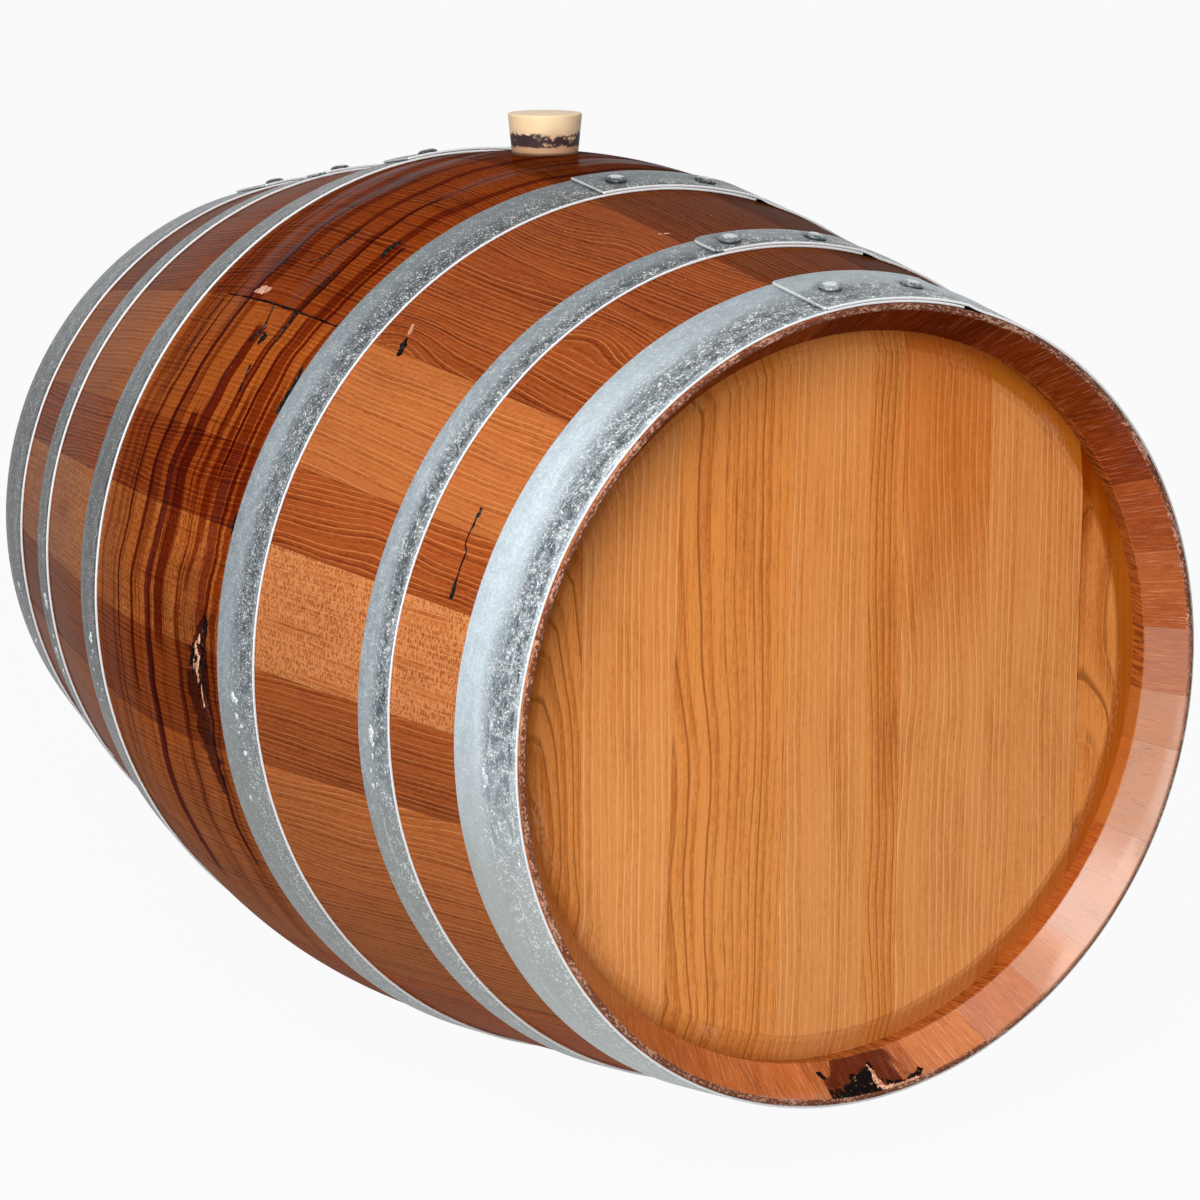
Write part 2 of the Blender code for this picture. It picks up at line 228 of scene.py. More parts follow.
def woodFinish(name, timber, sawn, seed, fleck=0.0, gloss=0.30, coat=0.10, stain=None, half=None, ring=None,
               knots=(), lines=0.75, shade=1.0, topStainAndShade=None, oiled=0.35):
    finish = Finish(name)
    log = sawing[sawn]
    tones = {key: tint(*(shade * part for part in timbers[timber][key][:3])) for key in ("base", "shade", "line")}
    grain = finish.node("Attribute", {"attribute_name": "grain"}, out=1)
    along, across, depth = finish.split(grain)
    place = finish.shifted(grain, (seed * 1.731, seed * 0.917, seed * 0.533))

    # the log's rings, bent by slow noise
    warp = finish.split(finish.noise(place, (4.0, 9.0, 9.0), 1.5, out=1))
    wobble = finish.noise(place, (22.0, 60.0, 60.0), 2.0) - 0.5
    side = across + log["pith"][0] + (warp[0] - 0.5) * log["wander"] * 2 + wobble * 0.0022
    below = log["pith"][1] - depth + along * log["tilt"] + (warp[1] - 0.5) * log["arch"] * 2
    for x, y, size, strength in knots:  # rings swing round a knot
        far = ((along - x) * 0.45) ** 2.0 + (across - y) ** 2.0
        side = side + finish.maths("EXPONENT", far * (-1 / size ** 2)) * strength
    distance = finish.maths("SQRT", side * side + below * below)
    rings = distance / (ring or woodGrain["ring"]) + (warp[2] - 0.5) * 3.0
    year = finish.maths("FRACT", rings)
    character = finish.node("TexWhiteNoise", {"noise_dimensions": "1D"}, {"W": finish.maths("FLOOR", rings)})

    fibre = finish.noise(place, (14.0, 700.0, 700.0), 3.0, 0.68) - 0.5
    speckle = finish.noise(place, (190.0, 520.0, 520.0), 2.0, 0.6) - 0.5
    dashes = finish.noise(place, (48.0, 1100.0, 1100.0), 1.0)
    band = finish.noise(place, (1.6, 24.0, 24.0), 2.0) - 0.5
    cloud = finish.noise(place, (9.0, 30.0, 30.0), 2.0) - 0.5
    share = woodGrain["lineShare"]
    line = finish.step(year, 0.0, share * 0.3) * (1 - finish.step(year, share * 0.6, share * 1.5))
    line = line * finish.step(dashes * 0.7 + character * 0.5, 0.30, 0.66)
    late = finish.step(year, 0.35, 0.98) * (0.30 + character * 0.9)
    dark = late * timbers[timber]["late"] + band * woodGrain["band"] + cloud * 0.7 + fibre * woodGrain["fibre"]
    dark = dark + speckle * woodGrain["speckle"] + (character - 0.5) * 0.35
    colour = finish.mix(dark + 0.14, tones["base"], tones["shade"])
    colour = finish.mix(line * lines, colour, tones["line"])
    pores = finish.step(dashes, 0.62, 0.74)
    colour = finish.mix(pores * 0.5, colour, tones["shade"])
    height = fibre * 0.9 - line * 0.3 - pores * 0.6

    if fleck:  # rays, cut through lengthwise, show as small scales in rows
        stretched = finish.node("VectorMath", {"operation": "MULTIPLY"}, {0: place, 1: (400.0, 165.0, 165.0)})
        border = finish.node("TexVoronoi", {"feature": "DISTANCE_TO_EDGE"},
                             {"Vector": stretched, "Scale": 1.0, "Randomness": 0.8})
        rows = finish.step(finish.noise(place, (12.0, 75.0, 75.0), 1.0), 0.26, 0.44) * fleck
        scale = finish.step(border + fibre * 0.15, 0.05, 0.17)
        colour = finish.mix(scale * rows * 0.50, colour, tones["shade"])
        colour = finish.mix((1 - scale) * rows * 0.70, colour, tones["line"])
        ripple = finish.maths("FRACT", across / 0.0052 + warp[0] * 5.0 + wobble * 0.5)
        colour = finish.mix(finish.step(ripple, 0.80, 0.92) * fleck * 0.5, colour, tones["line"])
        height = height - scale * rows * 0.4

    rough = gloss + fibre * 0.25 + pores * 0.15
    weight = coat
    if half:  # the oil lies darker in the joints
        seam = finish.step(finish.maths("ABSOLUTE", across), half(finish, along) - 0.0010, half(finish, along))
        colour = finish.mix(seam * 0.14, colour, tint(0.06, 0.014, 0.004))
    bruise = finish.node("Attribute", {"attribute_name": "bruise"}, out=2)
    if stain:
        colour, zone, wet = wineStain(finish, colour, along, across, stain)
        # the back half is painted darker, painted shade where the light falls off towards the rear, and it gets a
        # little more coat
        rear = finish.step(along, -0.12, -0.30)
        rough = rough - zone * 0.10
        colour = finish.mix(rear, colour, tint(0.80, 0.78, 0.80), "MULTIPLY")
        weight = (coat + rear * 0.09) * (1 - zone * 0.7) + wet * 0.20
        # the chime's turned faces are painted darker under the top and lighter low down, painted shade and painted
        # light
        paintedChimeLight = (0.50 + 0.72 * abs(math.sin(stain["arc"] / barrel["bilgeRadius"] / 2)) ** 1.6) * (0.5 + 0.5 * shade)
        # and low on the +Y side the chime is painted pale, a painted sheen of reflected light
        paintedChimeSheen = max(0.0, 1 - (math.degrees(stain["arc"] / barrel["bilgeRadius"]) / 42 + 2.86) ** 2)
        colour, rough, turned, bitten = turnedFaces(finish, colour, rough, along, depth, place, fibre, tones, paintedChimeLight,
                                                    paintedChimeSheen)
        weight = weight + turned * (1 - bitten) * (1 - bruise) * (0.68 * min(paintedChimeLight, 1.0) ** 2)
        if stain["bored"]:
            far = finish.maths("SQRT", along * along + across * across)
            wall = finish.step(far + speckle * 0.001, 0.0292, 0.0276) * finish.step(depth, -0.0004, -0.0010)
            colour = finish.mix(wall * 0.9, colour, wine["bore"], "MULTIPLY")
            weight = weight * (1 - wall)
    else:  # the heads' bevelled rim takes more oil, and its ridge is scuffed
        rim = finish.step(depth, -0.0009, -0.0018)
        # the head's upper part is painted darker, painted shade under the chime, and the rim is darker at the top with
        # it
        upper = finish.step(along + cloud * 0.2, -0.20, 0.20)
        colour = finish.mix(upper * 0.8, colour, tint(0.93, 0.82, 0.70), "MULTIPLY")
        colour = finish.mix(rim * (0.8 + upper * 0.2) * oiled, colour, tint(0.50, 0.130, 0.006))
        scuff = finish.step(speckle + cloud * 0.9, 0.10, 0.20) * finish.step(depth, -0.0007, -0.0011)
        scuff = scuff * finish.step(depth, -0.0040, -0.0020)
        colour = finish.mix(scuff * 0.35, colour, woodGrain["stroke"])
    if topStainAndShade:  # darker at the board's upper end, partly a stain and partly painted shade under the chime
        spread = finish.step(along + warp[1] * 0.10 + cloud * 0.2, topStainAndShade[0] + 0.05, topStainAndShade[1] + 0.05)
        colour = finish.mix(spread, colour, topStainAndShade[2], "MULTIPLY")
    # bruises, tar and torn wood of the marks that are cut into the mesh
    scar = finish.node("Attribute", {"attribute_name": "scar"}, out=2)
    raw = finish.node("Attribute", {"attribute_name": "raw"}, out=2)
    torn = finish.noise(place, (420.0, 130.0, 190.0), 3.0, 0.6)
    colour = finish.mix(finish.step(bruise + fibre * 0.5 + cloud * 0.7, 0.04, 0.62), colour, woodGrain["bruise"], "MULTIPLY")
    black = finish.step(scar + (torn - 0.5) * 0.40 + speckle * 0.4, 0.22, 0.36)
    rags = finish.mix(finish.step(torn + speckle * 0.6, 0.62, 0.72) * 0.8, tint(0.009, 0.006, 0.006), tint(0.24, 0.115, 0.075))
    colour = finish.mix(black, colour, rags)
    bare = finish.step(raw + (torn - 0.5) * 0.9 + speckle * 0.8, 0.28, 0.44)
    colour = finish.mix(bare, colour, finish.mix(finish.step(torn, 0.44, 0.60), tint(0.48, 0.21, 0.125), woodGrain["raw"]))
    weight = weight * (1 - black) * (1 - bare)
    normal = finish.node("Bump", {}, {"Strength": 0.5, "Distance": woodGrain["bumpDepth"], "Height": height})
    finish.surface({
        "Base Color": colour, "Roughness": rough + black * 0.2, "Normal": normal, "Coat Weight": weight,
        "Coat Roughness": 0.17, "Coat IOR": 1.5, "Specular IOR Level": 0.0,
    })
    return finish


def turnedFaces(finish, colour, rough, along, depth, place, fibre, tones, paintedChimeLight, paintedChimeSheen):
    beyond = finish.maths("ABSOLUTE", along)
    turned = finish.step(depth, -0.0008, -0.0016)
    mill = finish.noise(place, (50.0, 520.0, 50.0), 3.0, 0.6)
    strokes = finish.noise(place, (38.0, 1100.0, 38.0), 2.0, 0.55)
    slow = finish.noise(place, (20.0, 45.0, 20.0), 2.0)
    face = finish.mix(finish.step(mill + fibre * 0.6 + (slow - 0.5) * 0.6, 0.36, 0.72),
                      woodGrain["bevel"], woodGrain["bevelShade"])
    face = finish.mix(0.62, face, tones["base"])
    # painted shade and painted light on the turned faces
    face = finish.mix(1.0, face, tint(paintedChimeLight ** 0.75, paintedChimeLight ** 1.55, paintedChimeLight ** 3), "MULTIPLY")
    # the pale painted sheen, with darker marks in it
    face = finish.mix(paintedChimeSheen * (0.62 + 0.45 * slow), face, woodGrain["paintedSheen"])
    marks = finish.step(finish.noise(place, (55.0, 420.0, 55.0), 3.0, 0.6), 0.60, 0.68)
    face = finish.mix(marks * paintedChimeSheen * 0.5, face, woodGrain["paintedSheenMark"])
    face = finish.mix(finish.step(strokes, 0.56, 0.66) * 0.36 * paintedChimeLight * (1 - paintedChimeSheen * 0.6), face, woodGrain["stroke"])
    howel = finish.step(beyond, 0.4452, 0.4442)
    face = finish.mix(howel, face, finish.mix(finish.step(mill, 0.3, 0.7), woodGrain["howel"], tones["shade"]))
    colour = finish.mix(turned, colour, face)
    # the outermost millimetres are frayed
    crumbs = finish.noise(place, (480.0, 330.0, 700.0), 4.0, 0.7)
    edge = finish.step(beyond + (crumbs - 0.5) * 0.006, 0.4734, 0.4744)
    edge = edge * (1 - paintedChimeSheen * finish.step(depth, -0.0010, -0.0022))
    fray = finish.mix(finish.step(crumbs + (slow - 0.5) * 0.35, 0.50, 0.60), woodGrain["crustDark"], woodGrain["crust"])
    colour = finish.mix(edge * 0.9, colour, fray)
    return colour, rough + turned * 0.20, turned, edge


# the wine that ran down from the bung: runs are (place along, from, to, half width), in metres and degrees
wine = {
    "reach": 0.119,
    "leftEnd": 2.30, "rightEnd": -1.10,   # how far round, in radians from the top
    "ground": tint(0.83, 0.64, 0.36),
    "soak": tint(0.50, 0.28, 0.17),
    "deep": tint(0.34, 0.13, 0.090),
    "veil": tint(0.50, 0.46, 0.46),
    "bore": tint(0.26, 0.11, 0.10),
    "tar": tint(0.022, 0.010, 0.008),
    "runs": ((0.0975, 30, 120, 0.0024), (-0.0600, 40, 112, 0.0016), (0.0260, 47, 92, 0.0075), (0.0060, 60, 125, 0.0060),
             (0.0600, 20, 62, 0.0016), (-0.0920, 12, 60, 0.0013), (-0.0280, 14, 100, 0.0034), (0.078, 44, 70, 0.0020)),
    "tarRuns": ((0.0558, 36, 47, 0.0011), (-0.0735, 45, 63, 0.0008), (0.0270, 29, 38, 0.0009)),
}


def wineStain(finish, colour, along, across, stain):
    radius = barrel["bilgeRadius"]
    arc = across + stain["arc"]
    flat = finish.node("CombineXYZ", {}, {0: along, 1: arc, 2: 0.0})
    drift = finish.noise(flat, (3.0, 9.0, 1.0), 2.0) - 0.5
    shake = finish.noise(flat, (10.0, 40.0, 1.0), 2.0) - 0.5
    x = along + drift * 0.034 + shake * 0.004
    bent = finish.node("CombineXYZ", {}, {0: x, 1: arc, 2: 0.0})
    wide = finish.noise(bent, (60.0, 1.8, 1.0), 3.0, 0.55)
    fine = finish.noise(bent, (240.0, 4.0, 1.0), 2.0)
    ends = finish.noise(bent, (45.0, 3.0, 1.0), 1.0)
    top, low = radius * wine["leftEnd"], radius * wine["rightEnd"]
    fade = finish.step(arc + (ends - 0.5) * 0.5, top, top - 0.30)
    fade = fade * finish.step(arc + (ends - 0.5) * 0.4, low, low + 0.25)
    zone = finish.step(finish.maths("ABSOLUTE", along), wine["reach"] + 0.003, wine["reach"] - 0.008) * fade
    colour = finish.mix(zone, colour, wine["ground"], "MULTIPLY")
    front = finish.step(along, -0.05, 0.03)
    soak = zone * finish.step(wide, 0.510, 0.560) * (0.62 + 0.38 * front)
    colour = finish.mix(soak, colour, wine["soak"], "MULTIPLY")
    lines = zone * finish.step(fine, 0.600, 0.630) * finish.step(wide, 0.42, 0.54)
    colour = finish.mix(lines * (0.36 + 0.34 * front), colour, wine["deep"], "MULTIPLY")
    veil = zone * finish.step(along + drift * 0.1, 0.0, 0.06) * finish.step(arc + shake * 0.2, radius * 1.30, radius * 1.55)
    colour = finish.mix(veil * 0.75, colour, wine["veil"], "MULTIPLY")
    upper = finish.step(arc, radius * 1.10, radius * 0.60)
    wet = zone * (0.3 + 0.7 * upper) * finish.step(finish.noise(bent, (26.0, 3.0, 1.0), 2.0, 0.55), 0.50, 0.68)
    colour = finish.mix(wet * 0.5, colour, wine["soak"], "MULTIPLY")
    for runs, tone, blend in (("runs", "deep", "MULTIPLY"), ("tarRuns", "tar", "MIX")):
        for where, start, stop, half in wine[runs]:
            first, last = math.radians(start) * radius, math.radians(stop) * radius
            if last < stain["arc"] - stain["half"] or first > stain["arc"] + stain["half"]:
                continue
            off = finish.maths("ABSOLUTE", x - where)
            run = finish.step(off, half * 1.15, half * 0.85)
            run = run * finish.step(arc, first, first + 0.008) * finish.step(arc, last, last - 0.03)
            colour = finish.mix(run, colour, wine[tone], blend)
    return colour, zone, wet


staves = {
    "thickness": 0.028,
    "endFace": 0.0036,
    "chimeBevel": 0.031,
    "croze": (0.4283, 0.4217, 0.005),
    "arris": 0.00022,
    "gap": 0.00018,
    "blank": 0.040,
    "cutAlong": 0.0120,
    "cutAcross": 0.0065,
    "gloss": 0.36,
    "coat": 0.07,
    # from the bung stave round by way of -Y: width at the bilge, timber, sawing, ray fleck, how light (partly the
    # stave's own tone, partly painted shade on the staves near the top)
    "planks": (
        (0.114, "russet", "rift", 0.0, 0.36), (0.111, "russet", "wavy", 0.0, 0.62), (0.113, "russet", "wavy", 0.0, 0.64),
        (0.116, "amber", "rift", 0.0, 0.68), (0.063, "russet", "wavy", 0.0, 0.74), (0.100, "amber", "quarter", 0.85, 0.74),
        (0.078, "umber", "rift", 0.0, 0.88), (0.108, "honey", "wavy", 0.0, 0.92), (0.107, "honey", "rift", 0.0, 0.84),
        (0.111, "russet", "rift", 0.2, 0.86), (0.120, "russet", "flat", 0.0, 0.9), (0.119, "umber", "rift", 0.0, 0.8),
        (0.075, "honey", "rift", 0.0, 0.9), (0.076, "russet", "wavy", 0.0, 0.9), (0.060, "amber", "quarter", 0.0, 1.0),
        (0.119, "amber", "flat", 0.0, 1.0), (0.093, "straw", "rift", 0.0, 0.84), (0.053, "straw", "quarter", 0.0, 0.70),
        (0.066, "umber", "quarter", 0.0, 0.85), (0.081, "honey", "wavy", 0.0, 0.8), (0.079, "amber", "rift", 0.0, 0.60),
        (0.086, "russet", "quarter", 0.0, 0.50), (0.084, "honey", "flat", 0.0, 0.45), (0.075, "umber", "rift", 0.0, 0.50),
        (0.076, "russet", "wavy", 0.0, 0.24),
    ),
    "knots": {2: ((0.262, -0.026, 0.020, 0.012),), 3: ((0.195, 0.045, 0.018, 0.014), (0.360, -0.022, 0.020, 0.016)),
              5: ((0.292, 0.0, 0.020, 0.010),)},
}

# marks in the mesh: what shows there, path of (along, degrees from the top), half widths, depth (below 0 stands out)
scars = (
    {"shows": "bruise", "path": ((0.0950, 84.6), (0.0880, 87.5), (0.0840, 91.0), (0.0850, 96.0), (0.0890, 101.0), (0.0960, 106.5)),
     "half": (0.004, 0.0095, 0.0115, 0.0110, 0.0095, 0.004), "depth": 0.0012},
    {"shows": "scar", "path": ((0.0985, 84.7), (0.0935, 86.8), (0.0915, 90.0), (0.0925, 93.5)),
     "half": (0.0022, 0.0030, 0.0022, 0.0008), "depth": 0.0010},
    {"shows": "scar", "path": ((0.0800, 87.8), (0.0780, 90.5), (0.0805, 94.0)), "half": (0.0008, 0.0022, 0.0006), "depth": 0.0008},
    {"shows": "scar", "path": ((0.0965, 88.0), (0.0970, 92.0), (0.0990, 96.5)), "half": (0.0005, 0.0010, 0.0005), "depth": 0.0006},
    {"shows": "raw", "path": ((0.0955, 85.6), (0.0910, 87.0), (0.0862, 88.2), (0.0855, 90.4), (0.0862, 92.6)),
     "half": (0.0014, 0.0034, 0.0044, 0.0026, 0.0010), "depth": -0.0012},
    {"shows": "raw", "path": ((0.0795, 89.2), (0.0812, 91.8)), "half": (0.0010, 0.0008), "depth": -0.0006},
    {"shows": "raw", "path": ((0.0872, 91.3), (0.0893, 93.0), (0.0918, 95.6)), "half": (0.0009, 0.0013, 0.0008), "depth": -0.0008},
    # the split knot at the front chime
    {"shows": "bruise", "path": ((0.4475, 181.0), (0.4740, 180.6)), "half": (0.033, 0.040), "depth": 0.0, "bevel": True},
    {"shows": "scar", "path": ((0.4525, 182.8), (0.4580, 182.2), (0.4635, 180.4), (0.4700, 179.5), (0.4750, 178.9)),
     "half": (0.0015, 0.006, 0.017, 0.024, 0.028), "depth": -0.0030, "bevel": True},
    {"shows": "scar", "path": ((0.4725, 184.0), (0.4730, 188.0), (0.4700, 189.8)), "half": (0.003, 0.0025, 0.0035),
     "depth": -0.0016, "bevel": True},
    {"shows": "scar", "path": ((0.4535, 173.5), (0.4570, 173.9)), "half": (0.0026, 0.0026), "depth": 0.0006, "bevel": True},
    {"shows": "raw", "path": ((0.4560, 182.2), (0.4610, 182.4), (0.4660, 182.3), (0.4725, 182.7)),
     "half": (0.0012, 0.0026, 0.0030, 0.0045), "depth": -0.0008, "bevel": True},
    {"shows": "raw", "path": ((0.4742, 182.8), (0.4744, 185.0), (0.4744, 188.6)), "half": (0.0035, 0.0028, 0.0020),
     "depth": -0.0006, "bevel": True},
    # chips, and the joint that stands open under the bung's runs
    {"shows": "raw", "path": ((0.1897, 40.4), (0.1935, 41.6)), "half": (0.0012, 0.0020), "depth": -0.0005},
    {"shows": "scar", "path": ((0.1950, 42.4), (0.1975, 43.4), (0.1998, 44.6)), "half": (0.0012, 0.0024, 0.0016), "depth": 0.0010},
    {"shows": "raw", "path": ((-0.0260, 43.3), (-0.0160, 42.9), (-0.0050, 42.6)), "half": (0.0016, 0.0052, 0.0016), "depth": 0.0},
    {"shows": "raw", "path": ((0.2640, 9.4), (0.2680, 8.3)), "half": (0.0012, 0.0008), "depth": 0.0004},
    {"shows": "scar", "path": ((-0.0720, 44.45), (0.0300, 44.45), (0.1160, 44.40)), "half": (0.0007, 0.0009, 0.0007), "depth": 0.0006},
)


def straightStave():
    bm = bmesh.new()
    thick, width = staves["thickness"], staves["blank"]
    out, inner, deep = staves["croze"]
    corners = [(end, 0.0), (end, -staves["endFace"]), (end - staves["chimeBevel"], -thick), (out, -thick),
               (out, deep - thick), (inner, deep - thick), (inner, -thick)]
    outline = corners + [(-x, z) for x, z in reversed(corners)]
    face = bm.faces.new([bm.verts.new((x, -width / 2, z)) for x, z in outline])
    moved = bmesh.ops.extrude_face_region(bm, geom=[face])["geom"]
    bmesh.ops.translate(bm, verts=[v for v in moved if isinstance(v, bmesh.types.BMVert)], vec=(0, width, 0))
    closeAndTurnOut(bm)
    rim = [e for e in bm.edges if all(v.co.z > -staves["endFace"] - 1e-4 for v in e.verts)]
    bmesh.ops.bevel(bm, geom=rim, offset=staves["arris"], segments=2, profile=0.5, affect="EDGES", material=-1)
    count = round(2 * end / staves["cutAlong"])
    for i in range(1, count):
        cut(bm, (-end + i * 2 * end / count, 0, 0), (1, 0, 0))
    blank = bpy.data.meshes.new("straight_stave")
    bm.to_mesh(blank)
    bm.free()
    return blank


def nearPath(x, y, path, halves):  # distance to a flat path, and its half width there
    best, half = 1e9, halves[0]
    for i in range(len(path) - 1):
        a, b = Vector(path[i]), Vector(path[i + 1])
        t = max(0.0, min(1.0, (Vector((x, y)) - a).dot(b - a) / max((b - a).length_squared, 1e-12)))
        far = (Vector((x, y)) - a.lerp(b, t)).length
        if far < best:
            best, half = far, halves[i] + (halves[i + 1] - halves[i]) * t
    return best, half


def edgesOf(parts):
    return list(dict.fromkeys(e for part in parts for e in (part.edges if hasattr(part, "edges") else part.link_edges)))


def cutScars(bm, centre, sweep, width):
    marks = []
    for scar in scars:
        squeeze = 3.0 if "bevel" in scar else 1.0  # on the short chime face the half width is meant round the barrel
        path = [(x * squeeze, (math.radians(angle) - centre) / sweep * width) for x, angle in scar["path"]]
        if min(abs(y) for x, y in path) < width / 2 + max(scar["half"]):
            marks.append((path, squeeze, scar))

    def marked(face, margin, fine):
        spot = face.calc_center_median()
        for path, squeeze, scar in marks:
            facing = face.normal.x > 0.3 > -0.3 > face.normal.z if squeeze > 1 else face.normal.z > 0.5
            if facing and not (fine and scar["shows"] == "bruise"):  # a stain needs no fine mesh
                far, half = nearPath(spot.x * squeeze, spot.y, path, scar["half"])
                if far < half + margin:
                    return True
        return False

    for cuts, margin, fine in ((3, 0.007, False), (2, 0.0015, True)):
        faces = [face for face in bm.faces if marked(face, margin, fine)]
        if faces:
            bmesh.ops.subdivide_edges(bm, edges=edgesOf(faces), cuts=cuts, use_grid_fill=True)
    layers = {shows: bm.verts.layers.float.new(shows) for shows in ("bruise", "scar", "raw")}
    for path, squeeze, scar in marks:
        layer = layers[scar["shows"]]
        seed = 900 * scar["half"][0] + 7 * path[0][0]
        bevel = squeeze > 1
        for v in bm.verts:
            if (v.co.z < -0.0009) != bevel or bevel and not 0.4455 < v.co.x < 0.4749:
                continue
            far, half = nearPath(v.co.x * squeeze, v.co.y, path, scar["half"])
            wild = 0.35 if scar["shows"] == "raw" and not bevel else 0.7
            ragged = half * (1.0 + wild * noise.noise(Vector((v.co.x * 90, v.co.y * 130, seed))))
            if scar["shows"] != "bruise":
                ragged *= 1.0 + 0.7 * wild * noise.noise(Vector((v.co.x * 300, v.co.y * 500, seed)))
            if far < ragged * 1.3:
                strength = max(0.0, min(1.0, 1.9 * (1 - far / (ragged * 1.3))))
                v[layer] = max(v[layer], strength)
                uneven = 0.7 + 0.7 * noise.noise(Vector((v.co.x * 500, v.co.y * 90, 3.1)))
                if bevel:
                    uneven = 0.35 + 0.6 * noise.noise(Vector((v.co.x * 110, v.co.y * 70, 5.0))) + 0.25 * noise.noise(v.co * 480)
                    v.co -= Vector((0.66, 0, -0.75)) * scar["depth"] * strength * uneven
                    v.co.x = min(v.co.x, 0.4748)
                else:
                    v.co.z -= scar["depth"] * strength * uneven


def makeStaves():
    blank = straightStave()
    planks = staves["planks"]
    turn = 2 * math.pi / sum(plank[0] for plank in planks)
    start = -turn * planks[0][0] / 2
    for number, (width, timber, sawn, fleck, shade) in enumerate(planks, start=1):
        sweep = turn * width
        centre = start + sweep / 2
        start += sweep
        bm = bmesh.new()
        bm.from_mesh(blank)
        spread = (width - staves["gap"] - staves["blank"]) / 2
        for v in bm.verts:
            v.co.y += math.copysign(spread, v.co.y)
        wide = [e for e in bm.edges if abs(e.verts[0].co.y - e.verts[1].co.y) > width / 2]
        bmesh.ops.subdivide_edges(bm, edges=wide, cuts=math.ceil(width / staves["cutAcross"]), use_grid_fill=True)
        bm.normal_update()
        cutScars(bm, centre, sweep, width)
        name = "bung_stave" if number == 1 else f"stave_{number:02d}"
        if number == 1:
            boreBungHole(bm)
        layer = bm.verts.layers.float_vector.new("grain")
        for v in bm.verts:
            flat = v.co.copy()
            shift = flat.y / width * sweep
            v[layer] = (flat.x, shift * outerRadius(flat.x), flat.z)
            v.co = onBarrel(flat.x, centre + shift, outerRadius(flat.x) + flat.z)
        bmesh.ops.recalc_face_normals(bm, faces=bm.faces)
        away = (centre + math.pi) % (2 * math.pi) - math.pi

        def halfWidth(finish, along, sweep=sweep):
            bent = finish.maths("SQRT", along * along + bend ** 2)
            return (barrel["bilgeRadius"] + drop * bend - bent * drop) * (sweep / 2)

        finish = woodFinish(
            f"oiled_{name}", timber, sawn, seed=number * 1.37, fleck=fleck,
            gloss=staves["gloss"], coat=staves["coat"], half=halfWidth, shade=shade,
            stain={"arc": away * barrel["bilgeRadius"], "half": width / 2, "bored": number == 1},
            knots=staves["knots"].get(number, ()))
        addPiece(f"{name}_wood", bm, finish, nodes=[name])
    bpy.data.meshes.remove(blank)


bung = {
    "topRadius": 0.03025,
    "taper": 0.103,
    "proud": 0.0315,
    "height": 0.056,
    "rounding": 0.0014,
    "holeGap": 0.0003,
    "cream": tint(0.86, 0.60, 0.33),
    "pale": tint(0.90, 0.70, 0.46),
    "lees": tint(0.030, 0.010, 0.013),
    "smear": tint(0.42, 0.19, 0.09),
}


def boreBungHole(bm):  # the flat stave is cut before it is bent, so the hole's wall follows the taper
    radius = bung["topRadius"] - bung["taper"] * bung["proud"] + bung["holeGap"]
    steps = 48
    tool = bmesh.new()
    bmesh.ops.create_cone(tool, cap_ends=True, segments=steps, radius1=radius - bung["taper"] * 0.05,
                          radius2=radius + bung["taper"] * 0.05, depth=0.1)
    target = bpy.data.meshes.new("bored_stave")
    cutter = bpy.data.meshes.new("bung_drill")
    bm.to_mesh(target)
    tool.to_mesh(cutter)
    tool.free()
    body = bpy.data.objects.new("bored_stave", target)
    drill = bpy.data.objects.new("bung_drill", cutter)
    for thing in (body, drill):
        bpy.context.scene.collection.objects.link(thing)
    hole = body.modifiers.new("hole", "BOOLEAN")
    hole.operation = "DIFFERENCE"
    hole.solver = "EXACT"
    hole.object = drill
    result = body.evaluated_get(bpy.context.evaluated_depsgraph_get()).to_mesh()
    bm.clear()
    bm.from_mesh(result)
    bpy.data.meshes.remove(target)  # takes its object along
    bpy.data.meshes.remove(cutter)


